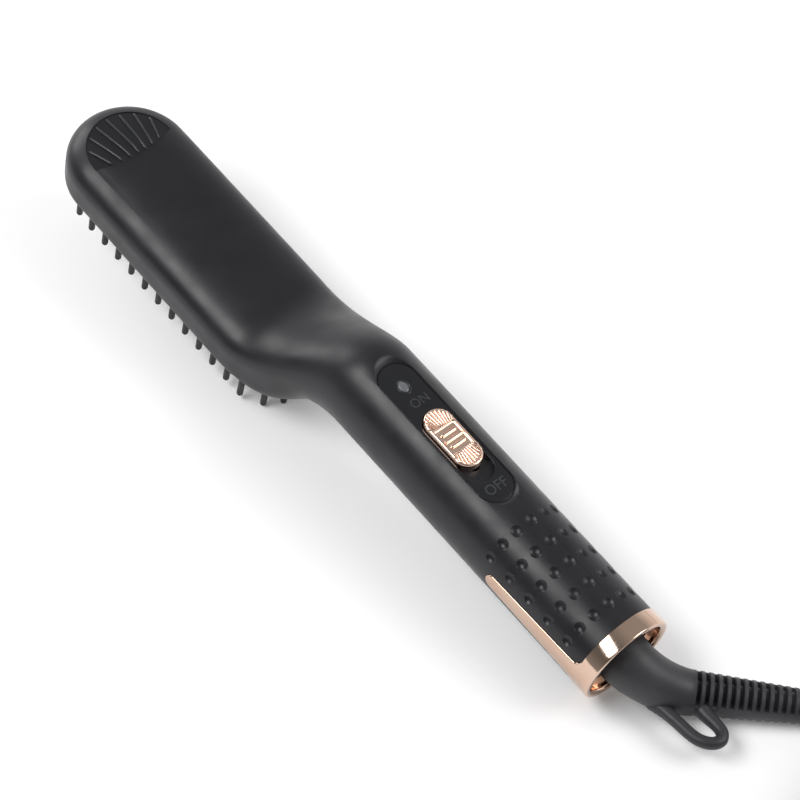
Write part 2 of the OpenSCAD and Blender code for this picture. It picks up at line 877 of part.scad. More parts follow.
module slide_switch_body() {
    color("#3c3f44")
        laid()
            difference() {
                translate([switch_x - switch_len / 2, -switch_w / 2, board_top])
                    cube([switch_len, switch_w, switch_h]);
                translate([knob_x - 2.8, -2.4, board_top + 1.8])
                    cube([5.6 + knob_travel, 4.8, 2.4]);
                translate([knob_x - lever_w / 2 - 0.3, -lever_w / 2 - 0.3, board_top + 3])
                    cube([lever_w + 0.6 + knob_travel, lever_w + 0.6, switch_h]);
            }
}

module switch_terminals() {
    color("#c9a44a")
        laid()
            for (k = [-1:1])
                translate([switch_x + k * 4 - 0.5, -0.3, board_top - board_t - 2])
                    cube([1, 0.6, board_t + 2]);
}

// ==== Electronics ====
module circuit_board() {
    color("#1f5a34")
        laid()
            difference() {
                translate([board_x0, -board_w / 2, board_top - board_t])
                    cube([board_x1 - board_x0, board_w, board_t]);
                for (x = board_screw_x, y = [-board_screw_y, board_screw_y])
                    translate([x, y, board_top - board_t - 1])
                        cylinder(d = screw_d + 2 * fit_gap, h = board_t + 2);
                for (k = [-1:1])
                    translate([switch_x + k * 4 - 0.6, -0.4, board_top - board_t - 1])
                        cube([1.2, 0.8, board_t + 2]);
            }
}

module board_screws() {
    color("#8c8c90")
        laid()
            for (x = board_screw_x, y = [-board_screw_y, board_screw_y])
                translate([x, y, board_top - board_t])
                    screw(6, 1.4);
}

module board_components() {
    relay_x = window_x + 3.5;
    rear_x = switch_x + switch_len / 2;
    color("#c77a1a")
        laid()
            translate([relay_x, -6.5, board_top])
                cube([9, 5, 8]);
    color("#20242c")
        laid()
            translate([relay_x + 4.5, 3.5, board_top])
                cylinder(d = 7, h = 9);
    color("#28305c")
        laid()
            translate([rear_x + 1, -3, board_top])
                cube([5, 6, 4]);
    color("#151515")
        laid()
            translate([switch_x - 3, switch_w / 2 + 0.8, board_top])
                cube([6, 4, 1.6]);
}

led_h = 5;
module indicator_led() {
    color("#e04030")
        laid()
            translate([window_x, 0, board_top]) {
                cylinder(d = 3.8, h = 1);
                cylinder(d = 3, h = led_h - 1.5);
                translate([0, 0, led_h - 1.5])
                    sphere(d = 3);
            }
}

module led_window() {
    color("#c9ced4")
        laid()
            translate([window_x, 0, board_top + led_h + 0.1]) {
                cylinder(d = window_d, h = panel_z - board_top - led_h - 0.1 + 0.2);
                cylinder(d = window_d + 1.6, h = seat_low - board_top - led_h - 0.1 - 0.1);
            }
}

// ==== Lower end: collar, bearing, contacts ====
module trim_collar() {
    edge = 0.6;
    color("#d9a48f")
        laid() {
            along_x(band_x - spigot_len)
                rotate_extrude()
                    polygon([
                        [spigot_r - spigot_wall, 0], [spigot_r, 0], [spigot_r, spigot_len],
                        [band_r, spigot_len], [band_r, spigot_len + band_len - edge],
                        [band_r - edge * 0.3, spigot_len + band_len - edge * 0.3],
                        [band_r - edge, spigot_len + band_len],
                        [band_r - band_wall + 0.3, spigot_len + band_len],
                        [band_r - band_wall, spigot_len + band_len - 0.3],
                        [band_r - band_wall, spigot_len + 1.2],
                        [spigot_r - spigot_wall, spigot_len + 1.2]]);
            prong_ring(handle_r - prong_depth, band_r, 0);
        }
}

module bearing_cap() {
    color("#1b1c1e")
        laid()
            difference() {
                union() {
                    along_x(cap_x0)
                        cylinder(r = cap_r, h = cap_x1 - cap_x0);
                    translate([ring_x[0] - 3, -tongue_w / 2, tongue_z])
                        cube([cap_x0 - ring_x[0] + 4, tongue_w, tongue_t]);
                }
                along_x(cap_x0 - 1)
                    cylinder(r = spindle_r + spindle_gap, h = cap_x1 - cap_x0 + 2);
            }
}

module swivel_spindle() {
    color("#2e2f33")
        laid()
            difference() {
                union() {
                    rod(2 * nose_r, nose_front, cap_x0 - 0.3 - flange_t + eps);
                    rod(2 * flange_r, cap_x0 - 0.3 - flange_t, cap_x0 - 0.3);
                    rod(spindle_d, cap_x0 - 0.3 - eps, boot_x0 + socket_depth);
                }
                rod(5, cap_x0 - 0.3 - flange_t, boot_x0 + socket_depth + 1);
            }
}

module slip_rings() {
    color("#c8a050")
        laid()
            for (x = ring_x)
                along_x(x - ring_w / 2)
                    difference() {
                        cylinder(r = ring_r, h = ring_w);
                        translate([0, 0, -1])
                            cylinder(r = nose_r, h = ring_w + 2);
                    }
}

module contact_springs() {
    t = 0.4;
    half = tongue_w / 2;
    color("#d0ae62")
        laid()
            for (i = [0:1]) {
                translate([ring_x[i] - 0.9, -half, ring_r + spindle_gap])
                    cube([1.8, tongue_w, t]);
                translate([ring_x[i] - 0.9, i == 0 ? half - t : -half, ring_r + spindle_gap])
                    cube([1.8, t, tongue_z - ring_r - spindle_gap]);
            }
}

// Leads from the contact springs' legs to the end of the circuit board
module mains_leads() {
    leg_y = tongue_w / 2 + lead_d / 2 * cos(22.5) + 0.02;
    leg_z = tongue_z - 1.8;
    for (i = [0:1])
        let (side = i == 0 ? 1 : -1, x0 = ring_x[i] + 0.5)
            color(i == 0 ? "#4a6fb0" : "#7a4a28")
                laid()
                    tube(concat([[x0, side * leg_y, leg_z]],
                        [for (t = [0:0.125:1])
                            curve([[x0 - 1.6, side * leg_y, leg_z], [nose_front - 1, side * 2.6, leg_z + 1],
                                [board_x1 + 5, side * 2.4, lead_z], [board_x1, side * 2.4, lead_z]], t)],
                        [[board_x1 - 1, side * 2.4, lead_z]]),
                        [for (k = [0:10]) lead_d / 2], 8);
}

// ==== Swivelling lead ====
boot_curve = [boot_start, boot_start + 7 * axis_dir, relief_start - 7 * relief_dir, relief_start];
boot_steps = 8;
boot_path = concat([laid([boot_x0, 0, 0])], [for (i = [0:boot_steps]) curve(boot_curve, i / boot_steps)]);
boot_radii = concat([boot_r], [for (i = [0:boot_steps]) mix(boot_r, relief_r, i / boot_steps)]);
boot_dirs = concat([axis_dir, axis_dir],
    [for (i = [1:boot_steps - 1])
        unit(curve(boot_curve, (i + 0.5) / boot_steps) - curve(boot_curve, (i - 0.5) / boot_steps))],
    [relief_dir]);

module cord_boot() {
    color("#1f2022")
        difference() {
            tube(boot_path, boot_radii, 24, boot_dirs);
            laid()
                rod(spindle_d, boot_x0 - 1, boot_x0 + socket_depth + 0.1);
        }
}

// Side loop for hanging the comb up: along the boot's flank, round, and back to the relief
loop_z = relief_r + 0.6;
loop_path = [for (p = [[8, -0.8], [11, 0.1], [15, 0.7], [20, 0.9], [25, 0.9], [28.2, 1.2], [31, 2.3],
    [32.9, 4.2], [33.3, 6.4], [31.6, 8.3], [28.5, 8.9], [25, 9], [22.5, 9.4], [20.5, 10]])
    [collar_rear[0] + p[0], p[1], loop_z]];

module hanging_loop() {
    color("#1f2022")
        tube(loop_path, [for (p = loop_path) loop_d / 2], 10);
}

// Tapered sleeve with slots above and below, and a smooth spine along each side
module strain_relief() {
    slot_w = relief_pitch * 0.5;
    length = norm(relief_end - relief_start);
    slots = floor((length - 3) / relief_pitch);
    color("#1f2022")
        translate(relief_start)
            rotate([0, 0, relief_heading])
                rotate([0, 90 - asin(relief_dir[2]), 0])
                    difference() {
                        cylinder(r1 = relief_r, r2 = relief_end_r, h = length);
                        for (i = [0:slots - 1])
                            translate([0, 0, 1.2 + i * relief_pitch])
                                difference() {
                                    cylinder(r = relief_r + 1, h = slot_w);
                                    translate([0, 0, -1])
                                        cylinder(r = cord_r + 0.8, h = slot_w + 2);
                                    translate([-2, -relief_r - 2, -1])
                                        cube([4, 2 * relief_r + 4, slot_w + 2]);
                                }
                    }
}

module mains_cord() {
    route = concat([relief_end, relief_end + 2 * relief_dir], cord_route);
    color("#17181a") {
        tube(route, [for (p = route) cord_r], 8);
        tube(tail_route, [for (p = tail_route) cord_r], 8);
    }
}

module cord_coil() {
    color("#17181a")
        translate([coil_centre[0], coil_centre[1], coil_base])
            rotate_extrude($fn = 64)
                translate([coil_r_in, 0])
                    square([coil_r_out - coil_r_in, coil_top - coil_base]);
}

// Strap round the coil's section
module coil_tie() {
    y0 = coil_centre[1] + coil_r_in - 1;
    tie_len = coil_r_out - coil_r_in + 1;
    color("#26262a")
        translate([coil_centre[0] - tie_w / 2, y0, coil_base])
            difference() {
                translate([0, -tie_t, -tie_t])
                    cube([tie_w, tie_len + 2 * tie_t, coil_top - coil_base + 2 * tie_t]);
                translate([-1, 0, 0])
                    cube([tie_w + 2, tie_len, coil_top - coil_base]);
            }
}

// Flat two-pin plug that points along -X
module plug_body() {
    corner = plug_t / 2;
    color("#1a1b1d")
        translate([plug_x, plug_y, plug_z])
            rotate([0, -90, 0]) {
                translate([0, 0, plug_neck])
                    linear_extrude(height = plug_len - plug_neck) {
                        for (side = [-1, 1])
                            translate([0, side * (plug_w / 2 - corner)])
                                circle(r = corner);
                        translate([-corner, -plug_w / 2 + corner])
                            square([plug_t, plug_w - 2 * corner]);
                    }
                cylinder(r1 = cord_r + 1.4, r2 = corner, h = plug_neck + eps);
            }
}

module plug_pins() {
    color("#c9ccd0")
        for (side = [-1, 1])
            translate([plug_x - plug_len, plug_y + side * plug_pin_gap / 2, plug_z])
                rotate([0, -90, 0]) {
                    cylinder(d = plug_pin_d, h = plug_pin_len - plug_pin_d / 2);
                    translate([0, 0, plug_pin_len - plug_pin_d / 2])
                        sphere(d = plug_pin_d);
                }
}

main_housing();
lower_cover();
cover_screws();
guard_frame();
guard_teeth();
heating_plate();
heated_pins();
ptc_heaters();
insulation_film();
clamp_spring();
heater_tray();
tray_screws();
thermal_fuse();
thermistor();
heater_leads();
switch_panel();
circuit_board();
board_screws();
board_components();
slide_switch_body();
switch_terminals();
indicator_led();
led_window();
contact_springs();
mains_leads();
trim_collar();
bearing_cap();
switch_lever();
knob_carrier();
slide_knob();
swivel_spindle();
slip_rings();
cord_boot();
hanging_loop();
strain_relief();
mains_cord();
cord_coil();
coil_tie();
plug_body();
plug_pins();
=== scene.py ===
import bpy
import bmesh
import math
from mathutils import Matrix, Vector


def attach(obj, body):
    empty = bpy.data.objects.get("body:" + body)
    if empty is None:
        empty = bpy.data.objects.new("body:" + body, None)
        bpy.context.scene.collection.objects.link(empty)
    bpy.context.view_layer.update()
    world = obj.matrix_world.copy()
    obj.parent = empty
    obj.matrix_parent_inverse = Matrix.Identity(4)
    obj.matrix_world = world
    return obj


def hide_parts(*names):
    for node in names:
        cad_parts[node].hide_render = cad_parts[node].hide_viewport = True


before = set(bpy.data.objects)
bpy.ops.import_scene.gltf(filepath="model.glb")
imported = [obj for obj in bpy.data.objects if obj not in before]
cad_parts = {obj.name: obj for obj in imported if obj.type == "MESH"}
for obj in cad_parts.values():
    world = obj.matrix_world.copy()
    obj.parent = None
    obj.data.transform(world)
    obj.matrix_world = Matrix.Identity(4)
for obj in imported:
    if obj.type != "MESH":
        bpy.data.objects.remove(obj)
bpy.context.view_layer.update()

# Sizes of the comb in millimetres, along X from the head's tip, with the handle's axis at z = 0
comb = dict(bodyLen=250.0, handleR=15.25, headR=20.65, headDrop=9.3, crown=9.5, headHigh=17.7,
            neckStart=93.0, neckLen=39.0, neckTail=5.0, gap=0.1, bandLen=5.8, bandStep=0.3)
comb["headBottom"] = comb["headDrop"] + comb["headHigh"]
comb["neckEnd"] = comb["neckStart"] + comb["neckLen"] + comb["neckTail"]
comb["bandX"] = comb["bodyLen"] - comb["bandLen"]
comb["bandR"] = comb["handleR"] + comb["bandStep"]

tines = dict(count=12, pitch=6.9, rowStart=3.1, rowY=16.5, rearDepth=11.2, arcStep=25.5, tipTurns=3, rearTurns=2,
             diameter=2.1, length=11.5, root=1.2, flare=0.25, flareLong=0.7, roundEnd=1.1)
tines["firstX"] = comb["headR"] + tines["rowStart"]
tines["lastX"] = tines["firstX"] + (tines["count"] - 1) * tines["pitch"]
tines["rearX"] = tines["lastX"] + tines["rearDepth"]

# The comb lies on its rearmost teeth and on the trim collar
pitch = math.atan((comb["headBottom"] + tines["length"] - comb["bandR"]) / (comb["bodyLen"] - tines["rearX"]))
lift = comb["bodyLen"] * math.sin(pitch) + comb["bandR"] * math.cos(pitch)
midX = (comb["bodyLen"] * math.cos(pitch) + comb["bandR"] * math.sin(pitch) - comb["headBottom"] * math.sin(pitch)) / 2
toMetres = Matrix.Scale(0.001, 4)
layDown = toMetres @ Matrix.Translation((-midX, 0, lift)) @ Matrix.Rotation(pitch, 4, "Y")
collarRear = layDown @ Vector((comb["bodyLen"], 0, 0)) * 1000
axisDir = Vector((math.cos(pitch), 0, -math.sin(pitch)))
print("frame loaded, pitch", round(math.degrees(pitch), 3))


def addObject(name, data):
    thing = bpy.data.objects.new(name, data)
    bpy.context.scene.collection.objects.link(thing)
    return thing


# Camera: lens and sensor in mm, place in metres, turn in degrees
view = dict(sensor=36, lens=128.41, place=(0.406577, -0.375637, 0.689403), turn=(39.3755, -2.6809, 48.7717))
camera = addObject("viewCamera", bpy.data.cameras.new("viewCamera"))
camera.data.sensor_width = view["sensor"]
camera.data.lens = view["lens"]
camera.location = view["place"]
camera.rotation_euler = [math.radians(angle) for angle in view["turn"]]
bpy.context.scene.camera = camera


# Small helpers, used by every piece
def srgb(code):
    parts = [int(code[i:i + 2], 16) / 255 for i in (1, 3, 5)]
    return [c / 12.92 if c <= 0.04045 else ((c + 0.055) / 1.055) ** 2.4 for c in parts] + [1.0]


def addNode(tree, kind, values=None, links=None, **settings):
    node = tree.nodes.new(kind)
    for name, value in settings.items():
        setattr(node, name, value)
    for name, value in (values or {}).items():
        node.inputs[name].default_value = value
    for name, socket in (links or {}).items():
        tree.links.new(socket, node.inputs[name])
    return node


def easing(t):
    t = min(1.0, max(0.0, t))
    return t * t * (3 - 2 * t)


def mix(a, b, t):
    return a + (b - a) * t


def finishMesh(bm, name, material, body, replaced=(), place=layDown, sharp=32):
    # merges doubles, turns the faces outwards, lays the piece down in metres and rides it on its body
    bmesh.ops.remove_doubles(bm, verts=bm.verts, dist=0.0005)
    bmesh.ops.recalc_face_normals(bm, faces=bm.faces)
    bmesh.ops.transform(bm, matrix=place, verts=bm.verts)
    mesh = bpy.data.meshes.new(name)
    bm.to_mesh(mesh)
    bm.free()
    mesh.materials.append(material)
    mesh.shade_smooth()
    mesh.set_sharp_from_angle(angle=math.radians(sharp))
    piece = addObject(name, mesh)
    if replaced:
        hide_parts(*replaced)
    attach(piece, body)
    return piece


def addPart(bm, part):
    mesh = bpy.data.meshes.new("part")
    part.to_mesh(mesh)
    part.free()
    bm.from_mesh(mesh)
    bpy.data.meshes.remove(mesh)


def loft(bm, stations, place, segments, closeEnds=True):
    # a ring extruded from station to station; place(station, index) gives each point
    tag = bm.verts.layers.int.new("ringIndex")
    ring = bmesh.ops.create_circle(bm, cap_ends=False, segments=segments, radius=1)["verts"]
    for index, vert in enumerate(ring):
        vert[tag] = index
    first = edges = list({edge for vert in ring for edge in vert.link_edges})
    for count, station in enumerate(stations):
        if count:
            grown = bmesh.ops.extrude_edge_only(bm, edges=edges)["geom"]
            ring = [item for item in grown if isinstance(item, bmesh.types.BMVert)]
            edges = [item for item in grown if isinstance(item, bmesh.types.BMEdge)
                     and all(vert in set(ring) for vert in item.verts)]
        for vert in ring:
            vert.co = place(station, vert[tag])
    if closeEnds:
        bmesh.ops.holes_fill(bm, edges=first, sides=0)
        bmesh.ops.holes_fill(bm, edges=edges, sides=0)
    return first, edges


def sweep(bm, path, radii, segments, squash=1.0):
    # a tube along a path with a radius for each point
    up = Vector((0, 0, 1))
    frames = []
    for i, point in enumerate(path):
        ahead = (path[min(i + 1, len(path) - 1)] - path[max(i - 1, 0)]).normalized()
        side = ahead.cross(up).normalized()
        frames.append((point, side, side.cross(ahead)))

    def place(i, k):
        point, side, rise = frames[i]
        a = 2 * math.pi * k / segments
        return point + radii[i] * (math.cos(a) * side + squash * math.sin(a) * rise)

    loft(bm, range(len(path)), place, segments)


def spinProfile(bm, points, steps, centre=(0, 0, 0), axis=(0, 0, 1), closed=False):
    # a chain of points turned once round an axis
    chain = [bm.verts.new(point) for point in points]
    ahead = chain[1:] + chain[:1] if closed else chain[1:]
    edges = [bm.edges.new(pair) for pair in zip(chain, ahead)]
    bmesh.ops.spin(bm, geom=chain + edges, cent=centre, axis=axis, angle=2 * math.pi, steps=steps, use_merge=True)


def turnedRing(profile, steps=192):
    # a closed (x, radius) profile turned round the handle's axis
    bm = bmesh.new()
    spinProfile(bm, [(x, 0, r) for x, r in profile], steps, axis=(1, 0, 0), closed=True)
    bmesh.ops.recalc_face_normals(bm, faces=bm.faces)
    return bm


def roundRim(bm, inside, size, segments, clamp=False):
    # rounds the creases whose ends are both inside a region
    rim = [edge for edge in bm.edges if len(edge.link_faces) == 2 and edge.calc_face_angle(0) > 0.5
           and all(inside(vert.co) for vert in edge.verts)]
    bmesh.ops.bevel(bm, geom=rim, offset=size, segments=segments, profile=0.5, affect="EDGES", material=-1,
                    clamp_overlap=clamp)


def solidOf(points, low, high, bevel=0.0, segments=4):
    # a flat outline pushed up from low to high, its upper edge rounded where bevel says so
    bm = bmesh.new()
    face = bm.faces.new([bm.verts.new((x, y, low)) for x, y in points])
    grown = bmesh.ops.extrude_face_region(bm, geom=[face])["geom"]
    top = [item for item in grown if isinstance(item, bmesh.types.BMVert)]
    bmesh.ops.translate(bm, verts=top, vec=(0, 0, high - low))
    bmesh.ops.recalc_face_normals(bm, faces=bm.faces)
    if bevel:
        roundRim(bm, lambda p: abs(p.z - high) < 1e-6, bevel, segments)
    return bm


def arcPoints(x, y, rx, ry, start, turn, steps):
    # points along an arc, its start and its turn in degrees
    angles = [math.radians(start + turn * k / steps) for k in range(steps + 1)]
    return [(x + rx * math.cos(a), y + ry * math.sin(a)) for a in angles]


def ovalPoints(x, rx, ry, steps):
    return arcPoints(x, 0, rx, ry, 0, 360, steps)[:-1]


def stadiumPoints(x0, x1, width, steps=24):
    r = width / 2
    return arcPoints(x0 + r, 0, r, r, 90, 180, steps) + arcPoints(x1 - r, 0, r, r, -90, 180, steps)


def cutter(bm, name="cutter"):
    bmesh.ops.recalc_face_normals(bm, faces=bm.faces)
    mesh = bpy.data.meshes.new(name)
    bm.to_mesh(mesh)
    bm.free()
    return addObject(name, mesh)


def carve(bm, tools, operation="DIFFERENCE"):
    # cuts a bmesh with one or more cutters and gives the result back as a bmesh
    blank = cutter(bm, "blank")
    for tool in tools:
        cut = blank.modifiers.new("cut", "BOOLEAN")
        cut.object = tool
        cut.operation = operation
        cut.solver = "EXACT"
    bpy.context.view_layer.update()
    done = blank.evaluated_get(bpy.context.evaluated_depsgraph_get())
    result = bmesh.new()
    result.from_mesh(done.to_mesh())
    done.to_mesh_clear()
    for item in [blank] + tools:
        data = item.data
        bpy.data.objects.remove(item)
        bpy.data.meshes.remove(data)
    return result


def smoothPath(points, steps):
    # a smooth curve through the points
    points = [Vector(p) for p in points]
    ends = [points[0] * 2 - points[1]] + points + [points[-1] * 2 - points[-2]]
    path = []
    for i in range(1, len(ends) - 2):
        p0, p1, p2, p3 = ends[i - 1:i + 3]
        for k in range(steps):
            t = k / steps
            path.append(0.5 * (2 * p1 + (p2 - p0) * t + (2 * p0 - 5 * p1 + 4 * p2 - p3) * t * t
                               + (3 * p1 - p0 - 3 * p2 + p3) * t ** 3))
    return path + [points[-1]]


# Materials: noise scales are 1000 over a size in mm, and bump depths are in mm
def startMaterial(name):
    mat = bpy.data.materials.new(name)
    mat.use_nodes = True
    mat.node_tree.nodes.clear()
    where = addNode(mat.node_tree, "ShaderNodeTexCoord")
    return mat, mat.node_tree, {"Vector": where.outputs["Object"]}


def plastic(name, base, deep, roughness, grain, depth, wear=0.06, coat=0.0, coatRough=0.1):
    # two close shades, a roughness that wanders by wear, and a surface grain, coarser than real so that it shows
    mat, tree, place = startMaterial(name)
    cloud = addNode(tree, "ShaderNodeTexNoise", {"Scale": 1000 / 22, "Detail": 3.0}, place)
    smear = addNode(tree, "ShaderNodeTexNoise", {"Scale": 1000 / 9, "Detail": 4.0}, place)
    grains = addNode(tree, "ShaderNodeTexNoise", {"Scale": 1000 / grain, "Detail": 2.0}, place)
    shade = addNode(tree, "ShaderNodeValToRGB", None, {"Fac": cloud.outputs["Fac"]})
    for stop, position, colour in zip(shade.color_ramp.elements, (0.35, 0.65), (deep, base)):
        stop.position, stop.color = position, srgb(colour)
    rough = addNode(tree, "ShaderNodeMapRange", {"From Min": 0.3, "From Max": 0.7, "To Min": roughness - wear,
                    "To Max": roughness + wear}, {"Value": smear.outputs["Fac"]})
    bump = addNode(tree, "ShaderNodeBump", {"Strength": 1.0, "Distance": depth * 0.001},
                   {"Height": grains.outputs["Fac"]})
    shader = addNode(tree, "ShaderNodeBsdfPrincipled", {"IOR": 1.46, "Coat Weight": coat, "Coat Roughness": coatRough},
                     {"Base Color": shade.outputs["Color"], "Roughness": rough.outputs["Result"],
                      "Normal": bump.outputs["Normal"]})
    addNode(tree, "ShaderNodeOutputMaterial", None, {"Surface": shader.outputs["BSDF"]})
    return mat


def metal(name, base, deep, roughness, marks, depth, metallic=1.0, wear=0.03):
    # slight changes of tone and gloss, and marks: small ones from handling, wide ones as plating has in its waves
    mat, tree, place = startMaterial(name)
    cloud = addNode(tree, "ShaderNodeTexNoise", {"Scale": 1000 / 15, "Detail": 2.0}, place)
    worn = addNode(tree, "ShaderNodeTexNoise", {"Scale": 1000 / marks, "Detail": 3.0}, place)
    shade = addNode(tree, "ShaderNodeValToRGB", None, {"Fac": cloud.outputs["Fac"]})
    for stop, position, colour in zip(shade.color_ramp.elements, (0.3, 0.7), (deep, base)):
        stop.position, stop.color = position, srgb(colour)
    rough = addNode(tree, "ShaderNodeMapRange", {"From Min": 0.3, "From Max": 0.7, "To Max": roughness + wear,
                    "To Min": max(0.02, roughness - wear)}, {"Value": cloud.outputs["Fac"]})
    bump = addNode(tree, "ShaderNodeBump", {"Strength": 1.0, "Distance": depth * 0.001},
                   {"Height": worn.outputs["Fac"]})
    shader = addNode(tree, "ShaderNodeBsdfPrincipled", {"Metallic": metallic},
                     {"Base Color": shade.outputs["Color"], "Roughness": rough.outputs["Result"],
                      "Normal": bump.outputs["Normal"]})
    addNode(tree, "ShaderNodeOutputMaterial", None, {"Surface": shader.outputs["BSDF"]})
    return mat


def woven(name, base, deep, thread):
    # threads that cross a thread's width apart, with painted light on their crowns and painted shade between them
    mat, tree, place = startMaterial(name)
    bands = {"Scale": 318.5 / thread, "Distortion": 0.4}   # a wave of scale 1 is about 0.32 m long
    across = addNode(tree, "ShaderNodeTexWave", bands, place, bands_direction="DIAGONAL")
    upright = addNode(tree, "ShaderNodeTexWave", bands, place, bands_direction="Z")
    crowns = addNode(tree, "ShaderNodeMath", None, {0: across.outputs["Fac"], 1: upright.outputs["Fac"]},
                     operation="MULTIPLY")
    # painted shade: the dark colour goes between the threads, the light one on their crowns
    shade = addNode(tree, "ShaderNodeValToRGB", None, {"Fac": crowns.outputs[0]})
    for stop, colour in zip(shade.color_ramp.elements, (deep, base)):
        stop.color = srgb(colour)
    bump = addNode(tree, "ShaderNodeBump", {"Strength": 1.0, "Distance": 0.0001}, {"Height": crowns.outputs[0]})
    shader = addNode(tree, "ShaderNodeBsdfPrincipled", {"Roughness": 0.85, "Sheen Weight": 0.2},
                     {"Base Color": shade.outputs["Color"], "Normal": bump.outputs["Normal"]})
    addNode(tree, "ShaderNodeOutputMaterial", None, {"Surface": shader.outputs["BSDF"]})
    return mat


softTouchAbs = plastic("softTouchAbs", "#1a1a1f", "#16161a", 0.39, 0.7, 0.012)   # lacquered ABS: a broad satin sheen
glossAbs = plastic("glossAbs", "#14151a", "#101115", 0.2, 14.0, 0.01, 0.03, 0.3)  # polished ABS: sharp dark gloss
nylonTines = plastic("nylonTines", "#0a0a0c", "#070708", 0.5, 0.6, 0.02)         # glass-filled nylon: dull, near black
bootRubber = plastic("bootRubber", "#38383b", "#2f2f32", 0.46, 0.5, 0.02)        # soft moulded PVC: wide, dull lights
cordPvc = plastic("cordPvc", "#17181a", "#121315", 0.46, 1.2, 0.02)              # extruded PVC: a faint line of light
collarGoldShaded = metal("polishedRoseGold", "#dabfac", "#d2b09a", 0.09, 30.0, 0.02)   # polished plating: sharp reflections; painted shade, darker than the knob's rose gold
knobGoldLit = metal("satinRoseGold", "#fbdcc8", "#f4ceb8", 0.17, 12.0, 0.02)        # satin plating: soft, bright crests; painted light, brighter than the collar's rose gold
lensGrey = plastic("frostedLens", "#6d6e72", "#5d5e62", 0.22, 3.0, 0.01)         # frosted acrylic: a pale, cloudy drop
ringHighlightGrey = plastic("ringPaintedHighlight", "#2f3035", "#27282c", 0.2, 2.0, 0.01)              # moulded ABS: lighter than the panel, a painted highlight as a thin outline
ridgeHighlightAbs = plastic("ridgeHighlightAbs", "#3a3b3f", "#323337", 0.24, 2.0, 0.005)           # ABS painted lighter: a painted highlight as thin light lines
inkGrey = plastic("padPrintGrey", "#37383c", "#303135", 0.5, 1.0, 0.005)         # printed ink: flat, barely lighter
plateCoat = metal("coatedAluminium", "#7d7f84", "#6b6d72", 0.38, 0.5, 0.01, 0.9)  # coated casting: a dull metal sheen
pinCoat = metal("coatedPins", "#4a4b4f", "#3c3d41", 0.4, 0.5, 0.01, 0.8)         # the same coat, thicker and darker
zincSteel = metal("zincSteel", "#a9aaad", "#8e9094", 0.3, 0.4, 0.01)             # zinc plating: cool and a little milky
brassStrip = metal("rolledBrass", "#c9a04e", "#b48b3c", 0.28, 0.4, 0.01)         # rolled brass: warm, soft reflections
nickelPin = metal("nickelPins", "#c2c3c6", "#a9abaf", 0.2, 0.6, 0.008)           # nickel on brass: bright and cool
ceramicWhite = plastic("alumina", "#d8d2c4", "#ccc5b5", 0.6, 0.4, 0.02)          # pressed alumina: chalky, no sheen
amberFilm = plastic("polyimideFilm", "#c0821c", "#a86d12", 0.3, 8.0, 0.02)       # cast film: amber with a smooth gloss
trayResin = plastic("trayResin", "#33291f", "#2a2119", 0.55, 0.6, 0.02)          # moulded resin: brown and dull
epoxyDark = plastic("epoxyParts", "#22252b", "#1a1d22", 0.45, 0.5, 0.02)         # moulded epoxy: even charcoal
boardGreen = plastic("boardLaminate", "#1c5231", "#164427", 0.35, 1.2, 0.02, 0.05, 0.3, 0.2)   # lacquer: a clear gloss
ledRed = plastic("ledEpoxy", "#c23a2c", "#a82c20", 0.2, 3.0, 0.01)               # cast epoxy: a glossy red bead
leadSilicone = plastic("leadSilicone", "#8a2b22", "#77241c", 0.5, 0.6, 0.02)     # extruded silicone: soft, dull red
tieFabric = woven("hookAndLoopTie", "#1d1e20", "#101112", 0.9)   # woven nylon: matt, its grid coarser than real to show
whiteNylon = plastic("whiteNylon", "#d9d8d4", "#cbcac5", 0.5, 0.6, 0.02)         # undyed nylon: milky, a weak sheen

cadMaterials = dict(
    lower_cover=softTouchAbs, cover_screws=zincSteel, guard_frame=nylonTines, heating_plate=plateCoat,
    heated_pins=pinCoat, ptc_heaters=ceramicWhite, insulation_film=amberFilm, clamp_spring=zincSteel,
    heater_tray=trayResin, tray_screws=zincSteel, thermal_fuse=ceramicWhite, thermistor=epoxyDark,
    heater_leads=leadSilicone, circuit_board=boardGreen, board_screws=zincSteel, board_components=epoxyDark,
    slide_switch_body=epoxyDark, switch_terminals=brassStrip, indicator_led=ledRed, contact_springs=brassStrip,
    mains_leads=leadSilicone, bearing_cap=nylonTines, switch_lever=epoxyDark, knob_carrier=whiteNylon,
    swivel_spindle=nylonTines, slip_rings=brassStrip, plug_pins=nickelPin, coil_tie=tieFabric, led_window=lensGrey)
for nodeName, material in cadMaterials.items():
    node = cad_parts[nodeName]
    if not node.material_slots:
        node.data.materials.append(material)
    for materialSlot in node.material_slots:
        materialSlot.material = material
print("materials made")

# Mains lead: straight out of the relief, into a coil of two layers, then up onto it to the plug; angles in degrees
lead = dict(diameter=6.0, length=1800.0, reliefStart=(15.9, 11.2, 6.75), heading=44.0, reliefLen=52.0, reliefR=6.75,
            reliefEndR=4.1, coilCentre=(233.0, 42.0), coilBase=0.7, coilOuter=42.0, coilInner=25.0, coilPitch=5.96,
            coilTurns=8.38, turnPoints=24, climbAt=3.5, climbTurns=0.5, hopAt=7.4, hopTurns=0.35, hopHigh=6.7,
            plugBack=(249.0, 22.0, 19.55), plugBend=25.2, bendStep=18, plugDrop=3.1)
leadR = lead["diameter"] / 2
reliefStart = Vector((collarRear.x + lead["reliefStart"][0], lead["reliefStart"][1], lead["reliefStart"][2]))
heading = math.radians(lead["heading"])
alongLead = Vector((math.cos(heading), math.sin(heading), 0))
reliefEnd = reliefStart + lead["reliefLen"] * alongLead
reliefEnd.z = lead["reliefEndR"]
reliefDir = (reliefEnd - reliefStart).normalized()


